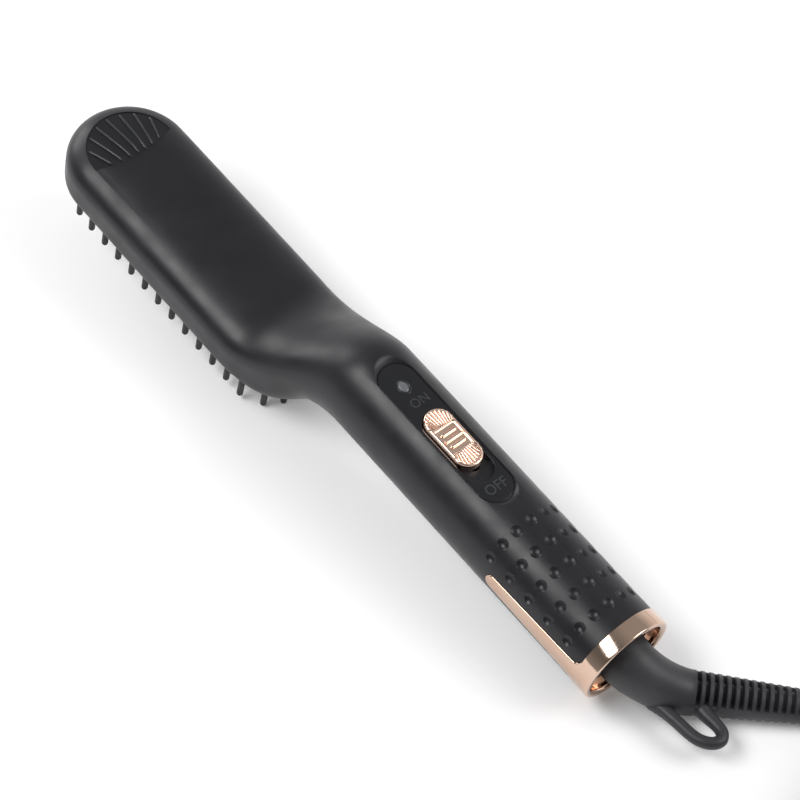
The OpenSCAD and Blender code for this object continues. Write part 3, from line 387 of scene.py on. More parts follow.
def leadPoints():
    centre = Vector((lead["coilCentre"][0], lead["coilCentre"][1], 0))
    low = lead["coilBase"] + leadR
    high = low + lead["diameter"]
    outer, inner = lead["coilOuter"], lead["coilInner"]
    touch = centre + outer * Vector((-alongLead.y, alongLead.x, 0))   # the straight run meets the outer turn here
    points = [reliefEnd, reliefEnd + 2 * reliefDir]
    for k in range(1, 7):
        p = points[1].lerp(touch, k / 7)
        p.z = mix(points[1].z, low, k / 7)
        points.append(p)
    startAngle = math.atan2(touch.y - centre.y, touch.x - centre.x)
    spiral = (outer - inner) / lead["coilPitch"]
    topAt = lead["climbAt"] + lead["climbTurns"]
    for k in range(round(lead["coilTurns"] * lead["turnPoints"]) - 1):
        turn = k / lead["turnPoints"]
        # in along a spiral, up half a turn at the middle, and out again on top
        share = 1 - min(turn, spiral) / spiral if turn < topAt else min(turn - topAt, spiral) / spiral
        r = inner + (outer - inner) * share
        z = low + (high - low) * easing((turn - lead["climbAt"]) / lead["climbTurns"])
        z += lead["hopHigh"] * easing((turn - lead["hopAt"]) / lead["hopTurns"])
        angle = startAngle - 2 * math.pi * turn
        points.append(centre + Vector((r * math.cos(angle), r * math.sin(angle), z)))
    bendR, drop, (x, y, z) = lead["plugBend"], lead["plugDrop"], lead["plugBack"]
    for k in range(7):   # one last bend, touching the outer turn from inside, into the plug
        a = math.radians(lead["bendStep"] * (1 - k))
        points.append(Vector((x + bendR * math.cos(a), y + bendR + bendR * math.sin(a),
                              z - drop + drop * easing(k / 6))))
    points.append(Vector((x - 3, y, z)))   # its end, 3 mm inside the plug
    return points


def makeLead():
    line = bpy.data.curves.new("mainsLead", "CURVE")
    line.dimensions = "3D"
    line.bevel_depth = leadR * 0.001
    line.bevel_resolution = 5
    line.resolution_u = 4
    line.use_fill_caps = True
    run = line.splines.new("BEZIER")
    points = leadPoints()
    run.bezier_points.add(len(points) - 1)
    for knot, point in zip(run.bezier_points, points):
        knot.co = point * 0.001
        knot.handle_left_type = knot.handle_right_type = "AUTO"
    line.materials.append(cordPvc)
    cord = addObject("mainsLead", line)
    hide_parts("mains_cord", "cord_coil")
    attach(cord, "swivel")
    return cord


plug = dict(length=36.0, wide=35.3, thick=13.7, neckWall=1.3, around=64)


def makePlug():
    x, y, z = lead["plugBack"]
    half, corner, long = plug["wide"] / 2, plug["thick"] / 2, plug["length"]
    neckR = leadR + plug["neckWall"]
    # stations from the neck to the pin face: distance, share of the full form, inset
    stations = [(0, 0, 0), (1.0, 0.02, 0), (3, 0.06, 0), (5, 0.16, 0), (7, 0.36, 0), (9, 0.7, 0), (10.5, 0.9, 0),
                (12.5, 1, 0), (long - 1.6, 1, 0), (long - 1.0, 1, 0.15), (long - 0.4, 1, 0.5), (long, 1, 1.1)]

    def place(station, k):
        distance, share, inset = station
        a = 2 * math.pi * k / plug["around"]
        r = neckR + (corner - neckR) * share - inset
        shift = math.copysign((half - corner) * share, math.cos(a)) if abs(math.cos(a)) > 1e-9 else 0
        return Vector((x - distance, y + (r * math.cos(a) + shift), z + r * math.sin(a)))

    bm = bmesh.new()
    loft(bm, stations, place, plug["around"])
    return finishMesh(bm, "moldedPlug", bootRubber, "swivel", ("plug_body",), place=toMetres)


mainsLead = makeLead()
moldedPlug = makePlug()
print("mains lead and plug made")

# Housing: one shell, superelliptic at the head and round at the handle
housing = dict(wall=2.0, crownPower=2.35, rimPower=14, sideAhead=2, rimAhead=6, cornerAfter=4, cornerShort=12,
               headEnd=57, gripStart=190, around=160, spinSteps=64, openR=18.95, openLow=-28, openHigh=-22.5)


def curvePower(value, n):
    return 0.0 if abs(value) < 1e-12 else math.copysign(abs(value) ** (2 / n), value)


def housingSection(x, inset, count):
    # points of one cross-section as (y, z), evenly spaced along each quarter
    start, end, fine = comb["neckStart"], comb["neckEnd"], 200
    rimX = tines["rearX"] - housing["rimAhead"]
    side = easing((x - start + housing["sideAhead"]) / comb["neckLen"])
    back = easing((x - start) / (end - start))
    rim = easing((x - rimX) / (end - rimX))
    corner = easing((x - start - housing["cornerAfter"]) / (comb["neckLen"] - housing["cornerShort"]))
    half = mix(comb["headR"], comb["handleR"], side) - inset
    middle = mix(-comb["headDrop"] - comb["crown"], 0, back)
    top = mix(-comb["headDrop"], comb["handleR"], back) - middle - inset
    bottom = middle + mix(comb["headBottom"], comb["handleR"], rim) - inset
    topPower, bottomPower = mix(housing["crownPower"], 2, corner), mix(housing["rimPower"], 2, corner)
    section = []
    for quarter in range(4):
        high, power = (top, topPower) if quarter < 2 else (bottom, bottomPower)
        angles = [math.pi / 2 * (quarter + k / fine) for k in range(fine + 1)]
        dense = [Vector((half * curvePower(math.cos(a), power), middle + high * curvePower(math.sin(a), power)))
                 for a in angles]
        runs = [0.0]
        for k in range(fine):
            runs.append(runs[-1] + (dense[k + 1] - dense[k]).length)
        k = 0
        for step in range(count // 4):
            want = runs[-1] * step / (count // 4)
            while runs[k + 1] < want:
                k += 1
            t = (want - runs[k]) / max(1e-9, runs[k + 1] - runs[k])
            section.append(dense[k].lerp(dense[k + 1], t))
    return section


def housingForm(inset, rearX, count):
    bm = bmesh.new()
    neckXs = [mix(comb["neckStart"] - 2, comb["neckEnd"], k / 40) for k in range(41)]
    stations = [comb["headR"], housing["headEnd"]] + neckXs + [housing["gripStart"], rearX]
    shapes = {x: housingSection(x, inset, count) for x in stations}
    last = loft(bm, stations, lambda x, k: Vector((x, shapes[x][k].x, shapes[x][k].y)), count, closeEnds=False)[1]
    bmesh.ops.holes_fill(bm, edges=last, sides=0)
    outline = shapes[comb["headR"]]
    chain = [bm.verts.new((comb["headR"], outline[k % count].x, outline[k % count].y))
             for k in range(-count // 4, count // 4 + 1)]
    spun = chain + [bm.edges.new(pair) for pair in zip(chain, chain[1:])]
    bmesh.ops.spin(bm, geom=spun, cent=(comb["headR"], 0, 0), axis=(0, 0, 1), angle=math.pi,
                   steps=housing["spinSteps"])
    bmesh.ops.remove_doubles(bm, verts=bm.verts, dist=0.001)
    return bm


panel = dict(x0=139.0, x1=194.0, width=12.5, top=13.4, seat=11.8, bevel=0.14, play=0.03, slotX0=158.4, slotX1=186.0,
             slotWide=9.9, holeCut=(5, 20), leverX0=163.2, leverX1=181.2, leverWide=4.6, leverCut=(5, 14),
             bedX0=137.6, bedX1=195.6, bedHalf=7.6, bedLow=10.6, bedHigh=13.0, edgeSoft=0.45)
panel["scoop"] = [(-1.6, 0), (-0.25, 0), (0, 0.06), (0.5, 0.5), (1.2, 1.4), (2.1, 3.2)]   # height over its face, flare
lamp = dict(x=147.4, long=4.1, wide=2.9, play=0.05, ringWide=0.55, ringOut=0.35, ringBack=0.25)
fan = dict(rim=5.9, length=18.9, depth=0.8, fall=1.84, middle=0.6, endX=26, edgeZs=(-16, -10.85), edgeSoft=0.28,
           ribs=9, spread=48.0, focusBack=26, ribFrom=18, ribStep=0.12, ribRise=0.2, ribR=0.434, ribTaper=2.5,
           ribMargin=0.8, ribArcMargin=0.9)
fan["outerR"] = comb["headR"] - fan["rim"]
fan["innerR"] = 2 * fan["outerR"]
fan["innerX"] = comb["headR"] - fan["outerR"] + fan["length"] - fan["innerR"]
fan["middleZ"] = -comb["headDrop"] - fan["depth"] * fan["middle"]
fan["edgeZ"] = -comb["headDrop"] - fan["depth"] - fan["fall"]
grip = dict(rings=5, gap=7.1, pitch=8.3, rows=7, step=20.6, width=3.8, depth=0.78)
cover = dict(x0=139.0, x1=237.2, half=14.5, split=-7.0, low=-17)
prong = dict(length=38.8, width=7.6, tipWide=5.4, fillet=3.0, depth=0.9, edge=0.36, proud=0.004)


def fanLens():
    # the lens-shaped recess at the tip, its floor a wide flat cone that follows the crown of the back
    # its two outlines are pushed up through the whole back
    outline = solidOf(ovalPoints(comb["headR"], fan["outerR"], fan["outerR"], 96), -20, 0)
    arc = cutter(solidOf(ovalPoints(fan["innerX"], fan["innerR"], fan["innerR"], 160), -21, 1))
    dish = bmesh.new()
    far = comb["headR"] + fan["outerR"] + 1
    profile = [(comb["headR"], fan["middleZ"]), (far, fan["edgeZ"]), (far, 1), (comb["headR"], 1)]
    spinProfile(dish, [(x, 0, z) for x, z in profile], 96, centre=(comb["headR"], 0, 0))
    bmesh.ops.remove_doubles(dish, verts=dish.verts, dist=0.001)
    return carve(carve(outline, [arc], "INTERSECT"), [cutter(dish)], "INTERSECT")


def makeRidges():
    # half-round ridges that fan out over the recess's floor, glossier than the skin round them and painted lighter as a
    # highlight
    bm = bmesh.new()
    focus = fan["length"] + fan["rim"] + fan["focusBack"]
    for i in range(fan["ribs"]):
        angle = math.radians(180 - fan["spread"] / 2 + fan["spread"] * i / (fan["ribs"] - 1))
        points = []
        for k in range(400):   # small steps out from the focus, kept where they lie inside the recess
            far = fan["ribFrom"] + k * fan["ribStep"]
            x, y = focus + far * math.cos(angle), far * math.sin(angle)
            away, arcAway = math.hypot(x - comb["headR"], y), math.hypot(x - fan["innerX"], y)
            if away < fan["outerR"] - fan["ribMargin"] and arcAway < fan["innerR"] - fan["ribArcMargin"]:
                floor = mix(fan["middleZ"], fan["edgeZ"], away / (fan["outerR"] + 1))
                points.append(Vector((x, y, floor + fan["ribRise"])))
        if len(points) < 16:   # too short to show
            continue
        path = points[::3] + [points[-1]]
        radii = [fan["ribR"] * math.sqrt(max(0.02, min(1.0, min(n, len(path) - 1 - n) / fan["ribTaper"])))
                 for n in range(len(path))]
        ridge = bmesh.new()
        sweep(ridge, path, radii, 14)
        addPart(bm, ridge)
    return finishMesh(bm, "fanRidges", ridgeHighlightAbs, "housing", sharp=60)


def prongSeat():
    # the outline of both prongs and of their flare, with a gap round it, between two cylinders
    gap, fillet, bandX = comb["gap"], prong["fillet"], comb["bandX"]
    tip, root = prong["tipWide"] / 2 + gap, prong["width"] / 2 + gap
    x0 = bandX - prong["length"] + prong["tipWide"] / 2
    points = arcPoints(x0, 0, tip, tip, 90, 180, 24)
    points += arcPoints(bandX - fillet, -root - fillet, fillet - gap, fillet - gap, 90, -90, 8)
    points += [(bandX + 1, -root - fillet), (bandX + 1, root + fillet)]
    points += arcPoints(bandX - fillet, root + fillet, fillet - gap, fillet - gap, 0, -90, 8)
    flat = solidOf(points, -40, 40)
    bmesh.ops.rotate(flat, verts=flat.verts, cent=(0, 0, 0), matrix=Matrix.Rotation(math.pi / 2, 3, "X"))
    front, rear = bandX - prong["length"] - 2, bandX + 0.9   # from clear of the tips to just into the band
    inner, outer = comb["handleR"] - prong["depth"] - gap, comb["handleR"] + 1
    tube = turnedRing([(front, inner), (rear, inner), (rear, outer), (front, outer)])
    return carve(flat, [cutter(tube)], "INTERSECT")


def panelScoop():
    # the panel's window, straight up to the panel's face and flared above it
    r, steps = panel["width"] / 2, 96

    def place(station, k):
        high, grow = station
        a = 2 * math.pi * (k + 0.5) / steps
        end = panel["x1"] - r if math.cos(a) > 0 else panel["x0"] + r
        return Vector((end + (r + grow) * math.cos(a), (r + grow * 0.9) * math.sin(a), panel["top"] + high))

    bm = bmesh.new()
    loft(bm, panel["scoop"], place, steps)
    return bm


def gripDimples():
    # balls sunk into the grip in rings, each row turned a step further round the handle
    dots = bmesh.new()
    ballR = ((grip["width"] / 2) ** 2 + grip["depth"] ** 2) / (2 * grip["depth"])
    for i in range(grip["rings"]):
        for j in range(grip["rows"]):
            ball = bmesh.ops.create_uvsphere(dots, u_segments=32, v_segments=20, radius=ballR)["verts"]
            bmesh.ops.translate(dots, verts=ball, vec=(comb["bandX"] - grip["gap"] - i * grip["pitch"], 0,
                                                       comb["handleR"] + ballR - grip["depth"]))
            turn = math.radians(-(j - (grip["rows"] - 1) / 2) * grip["step"])
            bmesh.ops.rotate(dots, verts=ball, cent=(0, 0, 0), matrix=Matrix.Rotation(turn, 3, "X"))
    return dots


def makeHousing():
    shell = housingForm(0, comb["bandX"], housing["around"])
    rear = tines["rearDepth"] + housing["openR"] - tines["rowY"]
    opening = arcPoints(comb["headR"], 0, housing["openR"], housing["openR"], 90, 180, 48)
    opening += arcPoints(tines["lastX"], 0, rear, housing["openR"], -90, 180, 48)
    shell = carve(shell, [cutter(housingForm(housing["wall"], comb["bandX"] + 1, 96)),
                          cutter(solidOf(opening, housing["openLow"], housing["openHigh"]))])
    x0, x1, half = panel["bedX0"], panel["bedX1"], panel["bedHalf"]
    bed = solidOf([(x0, -half), (x1, -half), (x1, half), (x0, half)], panel["bedLow"], panel["bedHigh"])
    shell = carve(shell, [cutter(bed)], "UNION")
    leverSlot = solidOf(stadiumPoints(panel["leverX0"], panel["leverX1"], panel["leverWide"]), *panel["leverCut"])
    half = cover["half"]
    coverOutline = arcPoints(cover["x0"] + half, 0, half, half, 90, 180, 24)
    coverOutline += [(cover["x1"], -half), (cover["x1"], half)]
    coverSeat = solidOf(coverOutline, cover["low"], cover["split"])
    tools = [panelScoop(), leverSlot, coverSeat, prongSeat(), gripDimples(), fanLens()]
    shell = carve(shell, [cutter(tool) for tool in tools])
    bmesh.ops.remove_doubles(shell, verts=shell.verts, dist=0.01)
    roundRim(shell, lambda p: panel["x0"] - 1 < p.x < panel["x1"] + 1 and p.z > panel["top"] + 0.05
             and abs(p.y) < panel["width"] / 2 + 0.15, panel["edgeSoft"], 4, clamp=True)
    low, high = fan["edgeZs"]
    roundRim(shell, lambda p: p.x < fan["endX"] and low < p.z < high
             and math.hypot(p.x - comb["headR"], p.y) < fan["outerR"] + 0.1, fan["edgeSoft"], 3, clamp=True)
    return finishMesh(shell, "combHousing", softTouchAbs, "housing", ("main_housing",))


makeHousing()
makeRidges()
print("housing made")


def makeTines():
    # round rods with rounded tips, a small flare where each leaves the rim
    bm = bmesh.new()
    r, length, flare, tip = tines["diameter"] / 2, tines["length"], tines["flare"], tines["roundEnd"]
    profile = [(r, tines["root"]), (r, 0.0), (r + flare, 0.0), (r + 0.4 * flare, -flare), (r, -tines["flareLong"]),
               (r, -length + tip)] + arcPoints(0, -length + tip, r, tip, 0, -90, 6)[1:]
    places = [(tines["firstX"] + k * tines["pitch"], side * tines["rowY"]) for k in range(tines["count"])
              for side in (-1, 1)]
    for centreX, reach, turns in ((comb["headR"], -tines["rowY"], tines["tipTurns"]),
                                  (tines["lastX"], tines["rearDepth"], tines["rearTurns"])):
        for k in range(-turns, turns + 1):
            a = math.radians(k * tines["arcStep"])
            places.append((centreX + reach * math.cos(a), tines["rowY"] * math.sin(a)))
    for x, y in places:
        spinProfile(bm, [(x + px, y, -comb["headBottom"] + pz) for px, pz in profile], 24, centre=(x, y, 0))
    return finishMesh(bm, "guardTines", nylonTines, "housing", ("guard_teeth",), sharp=50)


makeTines()


# Switch panel, lamp lens and lettering
def makePanel():
    play, top = panel["play"], panel["top"]
    face = stadiumPoints(panel["x0"] + play, panel["x1"] - play, panel["width"] - 2 * play, 96)
    slot = stadiumPoints(panel["slotX0"], panel["slotX1"], panel["slotWide"], 32)
    hole = ovalPoints(lamp["x"], lamp["long"] / 2 + lamp["play"], lamp["wide"] / 2 + lamp["play"], 48)
    bm = carve(solidOf(face, panel["seat"], top), [cutter(solidOf(cut, *panel["holeCut"])) for cut in (slot, hole)])
    bmesh.ops.remove_doubles(bm, verts=bm.verts, dist=0.001)
    roundRim(bm, lambda p: abs(p.z - top) < 1e-4, panel["bevel"], 3)
    return finishMesh(bm, "glossPanel", glossAbs, "housing", ("switch_panel",))


def makeLens():
    bm = bmesh.new()
    # share of its full radius, height
    profile = [(1.0, -1.4), (1.0, -0.15), (0.98, 0.0), (0.9, 0.12), (0.7, 0.26), (0.4, 0.36), (0.0, 0.4)]
    spinProfile(bm, [(share, 0, z) for share, z in profile], 64)
    bmesh.ops.scale(bm, verts=bm.verts, vec=(lamp["long"] / 2, lamp["wide"] / 2, 1))
    bmesh.ops.translate(bm, verts=bm.verts, vec=(lamp["x"], 0, panel["top"] - lamp["play"]))
    return finishMesh(bm, "lampLens", lensGrey, "housing", ("led_window",))


def makeLampRing():
    # a thin raised lip round the lens, painted lighter as a highlight
    wide, out = lamp["ringWide"] / 2, lamp["ringOut"]

    def place(i, k):
        a, b = 2 * math.pi * i / 96, 2 * math.pi * k / 12
        return Vector((lamp["x"] + lamp["ringBack"] + (lamp["long"] / 2 + out + wide * math.cos(b)) * math.cos(a),
                       (lamp["wide"] / 2 + out + wide * math.cos(b)) * math.sin(a),
                       panel["top"] + wide * 0.6 * math.sin(b)))

    bm = bmesh.new()
    loft(bm, range(97), place, 12, closeEnds=False)
    return finishMesh(bm, "lampRing", ringHighlightGrey, "housing", sharp=60)


lettering = dict(wordOn=("ON", 153.8, 0.75, 3.2, 6.2), wordOff=("OFF", 188.9, 0.2, 3.4, 7.6))   # x, y, height, width
inkHigh = 0.012


def makeWord(name, word, x, y, high, wide):
    letters = bpy.data.curves.new(name, "FONT")
    letters.body = word
    letters.align_x = letters.align_y = "CENTER"
    letters.extrude = 0.01
    letters.resolution_u = 6
    holder = addObject(name, letters)
    bpy.context.view_layer.update()
    mesh = bpy.data.meshes.new_from_object(holder.evaluated_get(bpy.context.evaluated_depsgraph_get()))
    bpy.data.objects.remove(holder)
    bm = bmesh.new()
    bm.from_mesh(mesh)
    xs, ys = [vert.co.x for vert in bm.verts], [vert.co.y for vert in bm.verts]
    middle = Vector(((min(xs) + max(xs)) / 2, (min(ys) + max(ys)) / 2, 0))
    bmesh.ops.translate(bm, verts=bm.verts, vec=-middle)
    bmesh.ops.scale(bm, verts=bm.verts, vec=(wide / (max(xs) - min(xs)), high / (max(ys) - min(ys)), 1))
    bmesh.ops.rotate(bm, verts=bm.verts, cent=(0, 0, 0), matrix=Matrix.Rotation(math.pi / 2, 3, "Z"))
    bmesh.ops.translate(bm, verts=bm.verts, vec=(x, y, panel["top"] + inkHigh))
    return finishMesh(bm, name, inkGrey, "housing")


makePanel()
makeLens()
makeLampRing()
for wordName, row in lettering.items():
    makeWord(wordName, *row)


# Slide knob: fluted ends, a sunk middle with three bars
knob = dict(x=169.7, length=22.1, width=9.4, base=11.9, top=15.1, bevel=0.7, trayLen=8.6, traySide=0.95,
            trayDepth=0.5, ribs=11, ribPitch=0.72, ribFocus=8.0, ribStart=0.25, ribInset=0.4, ribTall=0.95,
            ribSink=0.04, ribHalf=0.47, ribGrow=0.7, barPitch=2.2, barWide=1.15, barShort=3.6, middleShort=2.3,
            barHigh=0.12, barSoft=0.34, stemLong=12, stemWide=4.0, stemLow=10.4)


def makeKnob():
    x, width, top, floor = knob["x"], knob["width"], knob["top"], knob["top"] - knob["trayDepth"]
    bm = solidOf(stadiumPoints(x - knob["length"] / 2, x + knob["length"] / 2, width, 40), knob["base"], top,
                 knob["bevel"], 5)
    tray = bmesh.new()
    box = bmesh.ops.create_cube(tray, size=1)["verts"]
    bmesh.ops.scale(tray, verts=box, vec=(knob["trayLen"], width - 2 * knob["traySide"], 2))
    bmesh.ops.translate(tray, verts=box, vec=(x, 0, floor + 1))
    bm = carve(bm, [cutter(tray)])
    endX, reach = knob["length"] / 2 - width / 2, width / 2 - knob["ribInset"]
    startX = knob["trayLen"] / 2 + knob["ribStart"]
    for side in (1, -1):   # ribs that spread out from a point behind the tray's edge
        for k in range(knob["ribs"]):
            y = (k - (knob["ribs"] - 1) / 2) * knob["ribPitch"]
            angle = math.atan2(y, knob["ribFocus"])
            across = startX - endX   # where the rib meets the round end, or the straight side before it
            half = across * math.cos(angle) + y * math.sin(angle)
            long = -half + math.sqrt(half ** 2 - across ** 2 - y ** 2 + reach ** 2)
            if startX + long * math.cos(angle) < endX:
                long = (reach - abs(y)) / abs(math.sin(angle))
            path, radii = [], []
            for n in range(11):
                far = long * n / 10
                path.append(Vector((x + side * (startX + far * math.cos(angle)), y + far * math.sin(angle),
                                    top - knob["ribSink"])))
                radii.append(knob["ribPitch"] * knob["ribHalf"] * (1 + far / knob["ribFocus"] * knob["ribGrow"])
                             * (0.55 if n in (0, 10) else 1))
            rib = bmesh.new()
            sweep(rib, path, radii, 14, squash=knob["ribTall"])
            addPart(bm, rib)
    for k in (-1, 0, 1):   # bars across the tray
        half = (width - (knob["barShort"] if k else knob["middleShort"])) / 2
        outline = [(by + x + k * knob["barPitch"], bx) for bx, by in stadiumPoints(-half, half, knob["barWide"], 8)]
        addPart(bm, solidOf(outline, floor - 0.05, top + knob["barHigh"], knob["barSoft"], 4))
    stem = stadiumPoints(x - knob["stemLong"] / 2, x + knob["stemLong"] / 2, knob["stemWide"], 12)
    addPart(bm, solidOf(stem, knob["stemLow"], knob["base"] + 0.02))
    return finishMesh(bm, "slideKnob", knobGoldLit, "switch", ("slide_knob",), sharp=40)


makeKnob()


# Trim collar with two prongs
collar = dict(wall=2.3, edge=0.55, lip=1.1, sleeveLong=6, sleeveR=11.9, seatR=13.1, ledgeR=10.2, ledgeStart=1.2,
              ledgeEnd=2.8)


def makeProng(side):
    # one prong: a strip of the band's own curve, round at the tip, flared into the band, its edge rounded
    tip, root, fillet, edge = prong["tipWide"] / 2, prong["width"] / 2, prong["fillet"], prong["edge"]
    bandX, inner, across = comb["bandX"], comb["handleR"] - prong["depth"], 31
    x0, flareX = bandX - prong["length"] + tip, bandX - fillet
    stations = [(x0 - tip * math.cos(math.pi / 2 * k / 16), max(0.02, tip * math.sin(math.pi / 2 * k / 16)))
                for k in range(17)]
    stations += [(mix(x0, flareX, k / 12), mix(tip, root, k / 12)) for k in range(1, 13)]
    stations += [(flareX + fillet * math.sin(math.pi / 2 * k / 12),
                  root + fillet - fillet * math.cos(math.pi / 2 * k / 12)) for k in range(1, 12)]
    stations += [(bandX + x, root + fillet - 0.02) for x in (0.0, 0.1, 0.3, 0.6, 1.0, 1.4)]

    def place(station, k):
        x, half = station
        if k >= across:   # the two inner corners
            z = half if k == across else -half
            return Vector((x, side * math.sqrt(inner ** 2 - z ** 2), z))
        z = half * math.sin(math.pi / 2 * (-1 + 2 * k / (across - 1)))
        depth = half - abs(z)
        if x < x0:
            depth = min(depth, tip - math.hypot(x - x0, z))
        if x > flareX:
            depth = math.hypot(x - flareX, root + fillet - abs(z)) - fillet
        if x > bandX + 0.05:
            depth = edge
        outer = comb["bandR"] + prong["proud"] - 2 * prong["proud"] * easing(x - bandX - 0.4)   # sinks into the band
        depth = min(edge, max(0.0, depth))
        r = outer - edge + math.sqrt(max(0.0, edge ** 2 - (edge - depth) ** 2))
        return Vector((x, side * math.sqrt(r ** 2 - z ** 2), z))

    strip = bmesh.new()
    loft(strip, stations, place, across + 2)
    return strip


def makeCollar():
    x0, x1, r, inner = comb["bandX"], comb["bodyLen"], comb["bandR"], comb["bandR"] - collar["wall"]
    edge, lip, front = collar["edge"], collar["lip"], comb["bandX"] - collar["sleeveLong"]
    sleeveR, ledgeR, seatR = collar["sleeveR"], collar["ledgeR"], collar["seatR"]
    ledge0, ledge1 = x0 + collar["ledgeStart"], x0 + collar["ledgeEnd"]
    profile = [(front, seatR), (front, sleeveR), (ledge0, sleeveR), (ledge0, ledgeR), (ledge1, ledgeR),
               (ledge1, inner)]
    profile += arcPoints(x1 - lip, inner + lip, lip, lip, -90, 90, 8)
    profile += arcPoints(x1 - edge, r - edge, edge, edge, 0, 90, 8)
    profile += [(x0 + 0.2, r), (x0 + 0.06, r - 0.06), (x0, r - 0.2), (x0, seatR)]
    bm = turnedRing(profile)
    for side in (1, -1):
        addPart(bm, makeProng(side))
    return finishMesh(bm, "trimCollar", collarGoldShaded, "housing", ("trim_collar",), sharp=38)


makeCollar()
print("panel, knob and collar made")

# Cord boot, hanging loop and strain relief, which turn with the swivel
boot = dict(gap=0.3, capReach=0.6, straight=4.0, radius=8.35, handle=7.0)
relief = dict(pitch=2.5, first=1.2, slotWide=1.25, core=3.8, spine=20.0, spineSoft=9.0)
hook = dict(radius=1.9, z=7.35, rootGrow=0.75, rootSteps=22, endSink=1.5, endSteps=8)
hook["offsets"] = [(8, -0.8), (11, 0.1), (15, 0.7), (20, 0.9), (25, 0.9), (28.2, 1.2), (31, 2.3), (32.9, 4.2),
                   (33.3, 6.4), (31.6, 8.3), (28.5, 8.9), (25, 9), (22.5, 9.4), (20.5, 10)]   # x past the collar, y


def makeBoot():
    x0 = comb["bandX"] + boot["capReach"] + boot["gap"]
    start, bend = [layDown @ Vector((x, 0, 0)) * 1000 for x in (x0, x0 + boot["straight"])]
    p1, p2 = bend + boot["handle"] * axisDir, reliefStart - boot["handle"] * reliefDir
    path = [start.lerp(bend, k / 5) for k in range(5)]
    radii = [boot["radius"]] * 5
    for k in range(33):
        t = k / 32
        path.append((1 - t) ** 3 * bend + 3 * t * (1 - t) ** 2 * p1 + 3 * t * t * (1 - t) * p2 + t ** 3 * reliefStart)
        radii.append(mix(boot["radius"], lead["reliefR"], t))
    path.append(path[-1] + reliefDir * 0.001)
    radii.append(lead["reliefR"])
    bm = bmesh.new()
    sweep(bm, path, radii, 64)
    return finishMesh(bm, "cordBoot", bootRubber, "swivel", ("cord_boot",), place=toMetres, sharp=45)


def makeRelief():
    length = (reliefEnd - reliefStart).length
    side = reliefDir.cross(Vector((0, 0, 1))).normalized()
    rise = side.cross(reliefDir)
    wide = relief["slotWide"]
    stations = [(0.0, 0.0), (0.9, 0.0)]
    for i in range(int((length - 3) / relief["pitch"])):
        start = relief["first"] + i * relief["pitch"]   # one slot: how far along, and how deep
        stations += [(start + at, sink) for at, sink in ((-0.12, 0), (0, 0.25), (0.1, 1), (wide - 0.1, 1),
                                                         (wide, 0.25), (wide + 0.12, 0))]
    stations += [(length - 0.9, 0.0), (length - 0.5, 0.0), (length - 0.15, 0.0), (length, 0.0)]

    def place(station, k):
        s, sink = station
        a = 2 * math.pi * k / 96
        full = mix(lead["reliefR"], lead["reliefEndR"], s / length)
        if s > length - 0.5:   # the last half millimetre is rounded off
            full -= 0.35 * (s - length + 0.5) ** 2 / 0.25
        # spines run along both sides and the slots end in round corners beside them
        off = math.degrees(math.asin(min(1, abs(math.sin(a)))))
        r = full - (full - relief["core"]) * sink * easing((off - relief["spine"]) / relief["spineSoft"])
        return reliefStart + reliefDir * s + r * (math.cos(a) * side + math.sin(a) * rise)

    bm = bmesh.new()
    loft(bm, stations, place, 96)
    return finishMesh(bm, "strainRelief", bootRubber, "swivel", ("strain_relief",), place=toMetres,
                      sharp=40)


def makeHook():
    path = smoothPath([(collarRear.x + x, y, hook["z"]) for x, y in hook["offsets"]], 6)
    last = len(path) - 1
    radii = []
    for k in range(last + 1):   # thicker towards both roots, and tapered where they sink into the boot
        near = min(k, last - k)
        radii.append(hook["radius"] + hook["rootGrow"] * (1 - easing(near / hook["rootSteps"]))
                     - hook["endSink"] * (1 - easing(near / hook["endSteps"])))
    bm = bmesh.new()
    sweep(bm, path, radii, 28)
    return finishMesh(bm, "hangingHook", bootRubber, "swivel", ("hanging_loop",), place=toMetres,
                      sharp=60)


makeBoot()
makeRelief()
makeHook()
print("boot, relief and loop made")

# Floor, world and lamps
studio = dict(floorSize=3, floorLow=0.00003, floorGlow=0.115)
softboxes = dict(frontSoftbox=((-0.2, -0.53, 0.82), 0.7, 0.42, 6.8), backSoftbox=((0.55, 0.5, 0.66), 0.5, 0.5, 3.6),
                 tipSoftbox=((-0.75, -0.05, 0.33), 0.36, 0.36, 1.5))   # place, both sides of the panel, watts


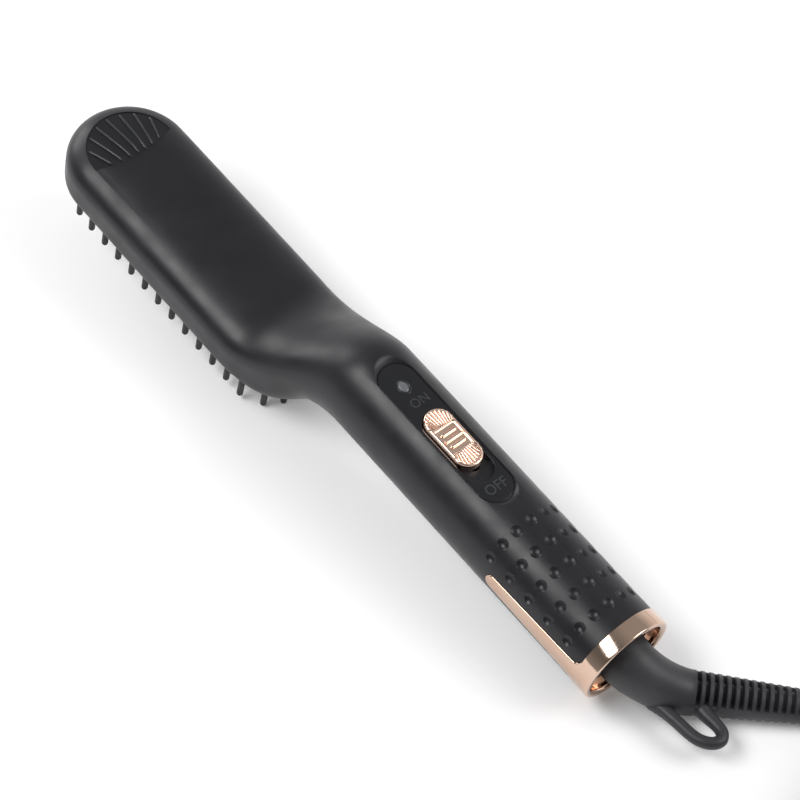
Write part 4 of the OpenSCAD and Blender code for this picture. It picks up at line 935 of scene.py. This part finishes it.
def makeFloor():
    mat, tree, place = startMaterial("paperSweep")   # seamless paper, rolled out: matt white with a soft shadow
    fibre = addNode(tree, "ShaderNodeTexNoise", {"Scale": 1000 / 1.5, "Detail": 3.0}, place)
    tone = addNode(tree, "ShaderNodeValToRGB", None, {"Fac": fibre.outputs["Fac"]})
    for stop, colour in zip(tone.color_ramp.elements, ("#f3f3f4", "#f7f7f8")):
        stop.color = srgb(colour)
    # seen directly, in metal or through a lens, the paper is lifted to a studio white and keeps its shadow
    rays = addNode(tree, "ShaderNodeLightPath")
    seen = addNode(tree, "ShaderNodeMath", None, {0: rays.outputs["Is Camera Ray"], 1: rays.outputs["Is Glossy Ray"]},
                   operation="MAXIMUM")
    seenThrough = addNode(tree, "ShaderNodeMath", None, {0: seen.outputs[0], 1: rays.outputs["Is Transmission Ray"]},
                          operation="MAXIMUM")
    glow = addNode(tree, "ShaderNodeMath", {1: studio["floorGlow"]}, {0: seenThrough.outputs[0]}, operation="MULTIPLY")
    shader = addNode(tree, "ShaderNodeBsdfPrincipled", {"Roughness": 0.9, "Specular IOR Level": 0.1,
                     "Emission Color": (1, 1, 1, 1)},
                     {"Base Color": tone.outputs["Color"], "Emission Strength": glow.outputs[0]})
    addNode(tree, "ShaderNodeOutputMaterial", None, {"Surface": shader.outputs["BSDF"]})
    bm = bmesh.new()
    bmesh.ops.create_grid(bm, x_segments=4, y_segments=4, size=studio["floorSize"])
    bmesh.ops.translate(bm, verts=bm.verts, vec=(0, 0, -studio["floorLow"]))
    mesh = bpy.data.meshes.new("floorSweep")
    bm.to_mesh(mesh)
    bm.free()
    mesh.materials.append(mat)
    addObject("floorSweep", mesh)


def makeWorld():
    # a white room whose ceiling is dimmer than its walls, white wherever it is looked at
    world = bpy.data.worlds.new("studio")
    bpy.context.scene.world = world
    world.use_nodes = True
    tree = world.node_tree
    tree.nodes.clear()
    where = addNode(tree, "ShaderNodeTexCoord")
    towards = addNode(tree, "ShaderNodeSeparateXYZ", None, {"Vector": where.outputs["Generated"]})
    fade = addNode(tree, "ShaderNodeMapRange", {"From Min": 0.05, "From Max": 0.55, "To Min": 0.95, "To Max": 0.38},
                   {"Value": towards.outputs["Z"]})
    front = addNode(tree, "ShaderNodeMapRange", {"From Min": -0.45, "From Max": 0.2, "To Min": 0.3, "To Max": 1.0},
                    {"Value": towards.outputs["Y"]})
    level = addNode(tree, "ShaderNodeMath", None, {0: fade.outputs["Result"], 1: front.outputs["Result"]},
                    operation="MULTIPLY")
    rays = addNode(tree, "ShaderNodeLightPath")
    seen = addNode(tree, "ShaderNodeMath", None, {0: level.outputs[0], 1: rays.outputs["Is Camera Ray"]},
                   operation="MAXIMUM")
    sky = addNode(tree, "ShaderNodeBackground", {"Color": (1, 1, 1, 1)}, {"Strength": seen.outputs[0]})
    addNode(tree, "ShaderNodeOutputWorld", None, {"Surface": sky.outputs["Background"]})


makeFloor()
makeWorld()
for lampName, (place, sizeX, sizeY, power) in softboxes.items():   # each aimed at the middle of the floor
    softbox = bpy.data.lights.new(lampName, "AREA")
    softbox.shape = "RECTANGLE"
    softbox.size, softbox.size_y, softbox.energy = sizeX, sizeY, power
    holder = addObject(lampName, softbox)
    holder.location = place
    holder.rotation_euler = (-Vector(place)).to_track_quat("-Z", "Y").to_euler()
bpy.context.scene.view_settings.view_transform = "Standard"
print("stage set")
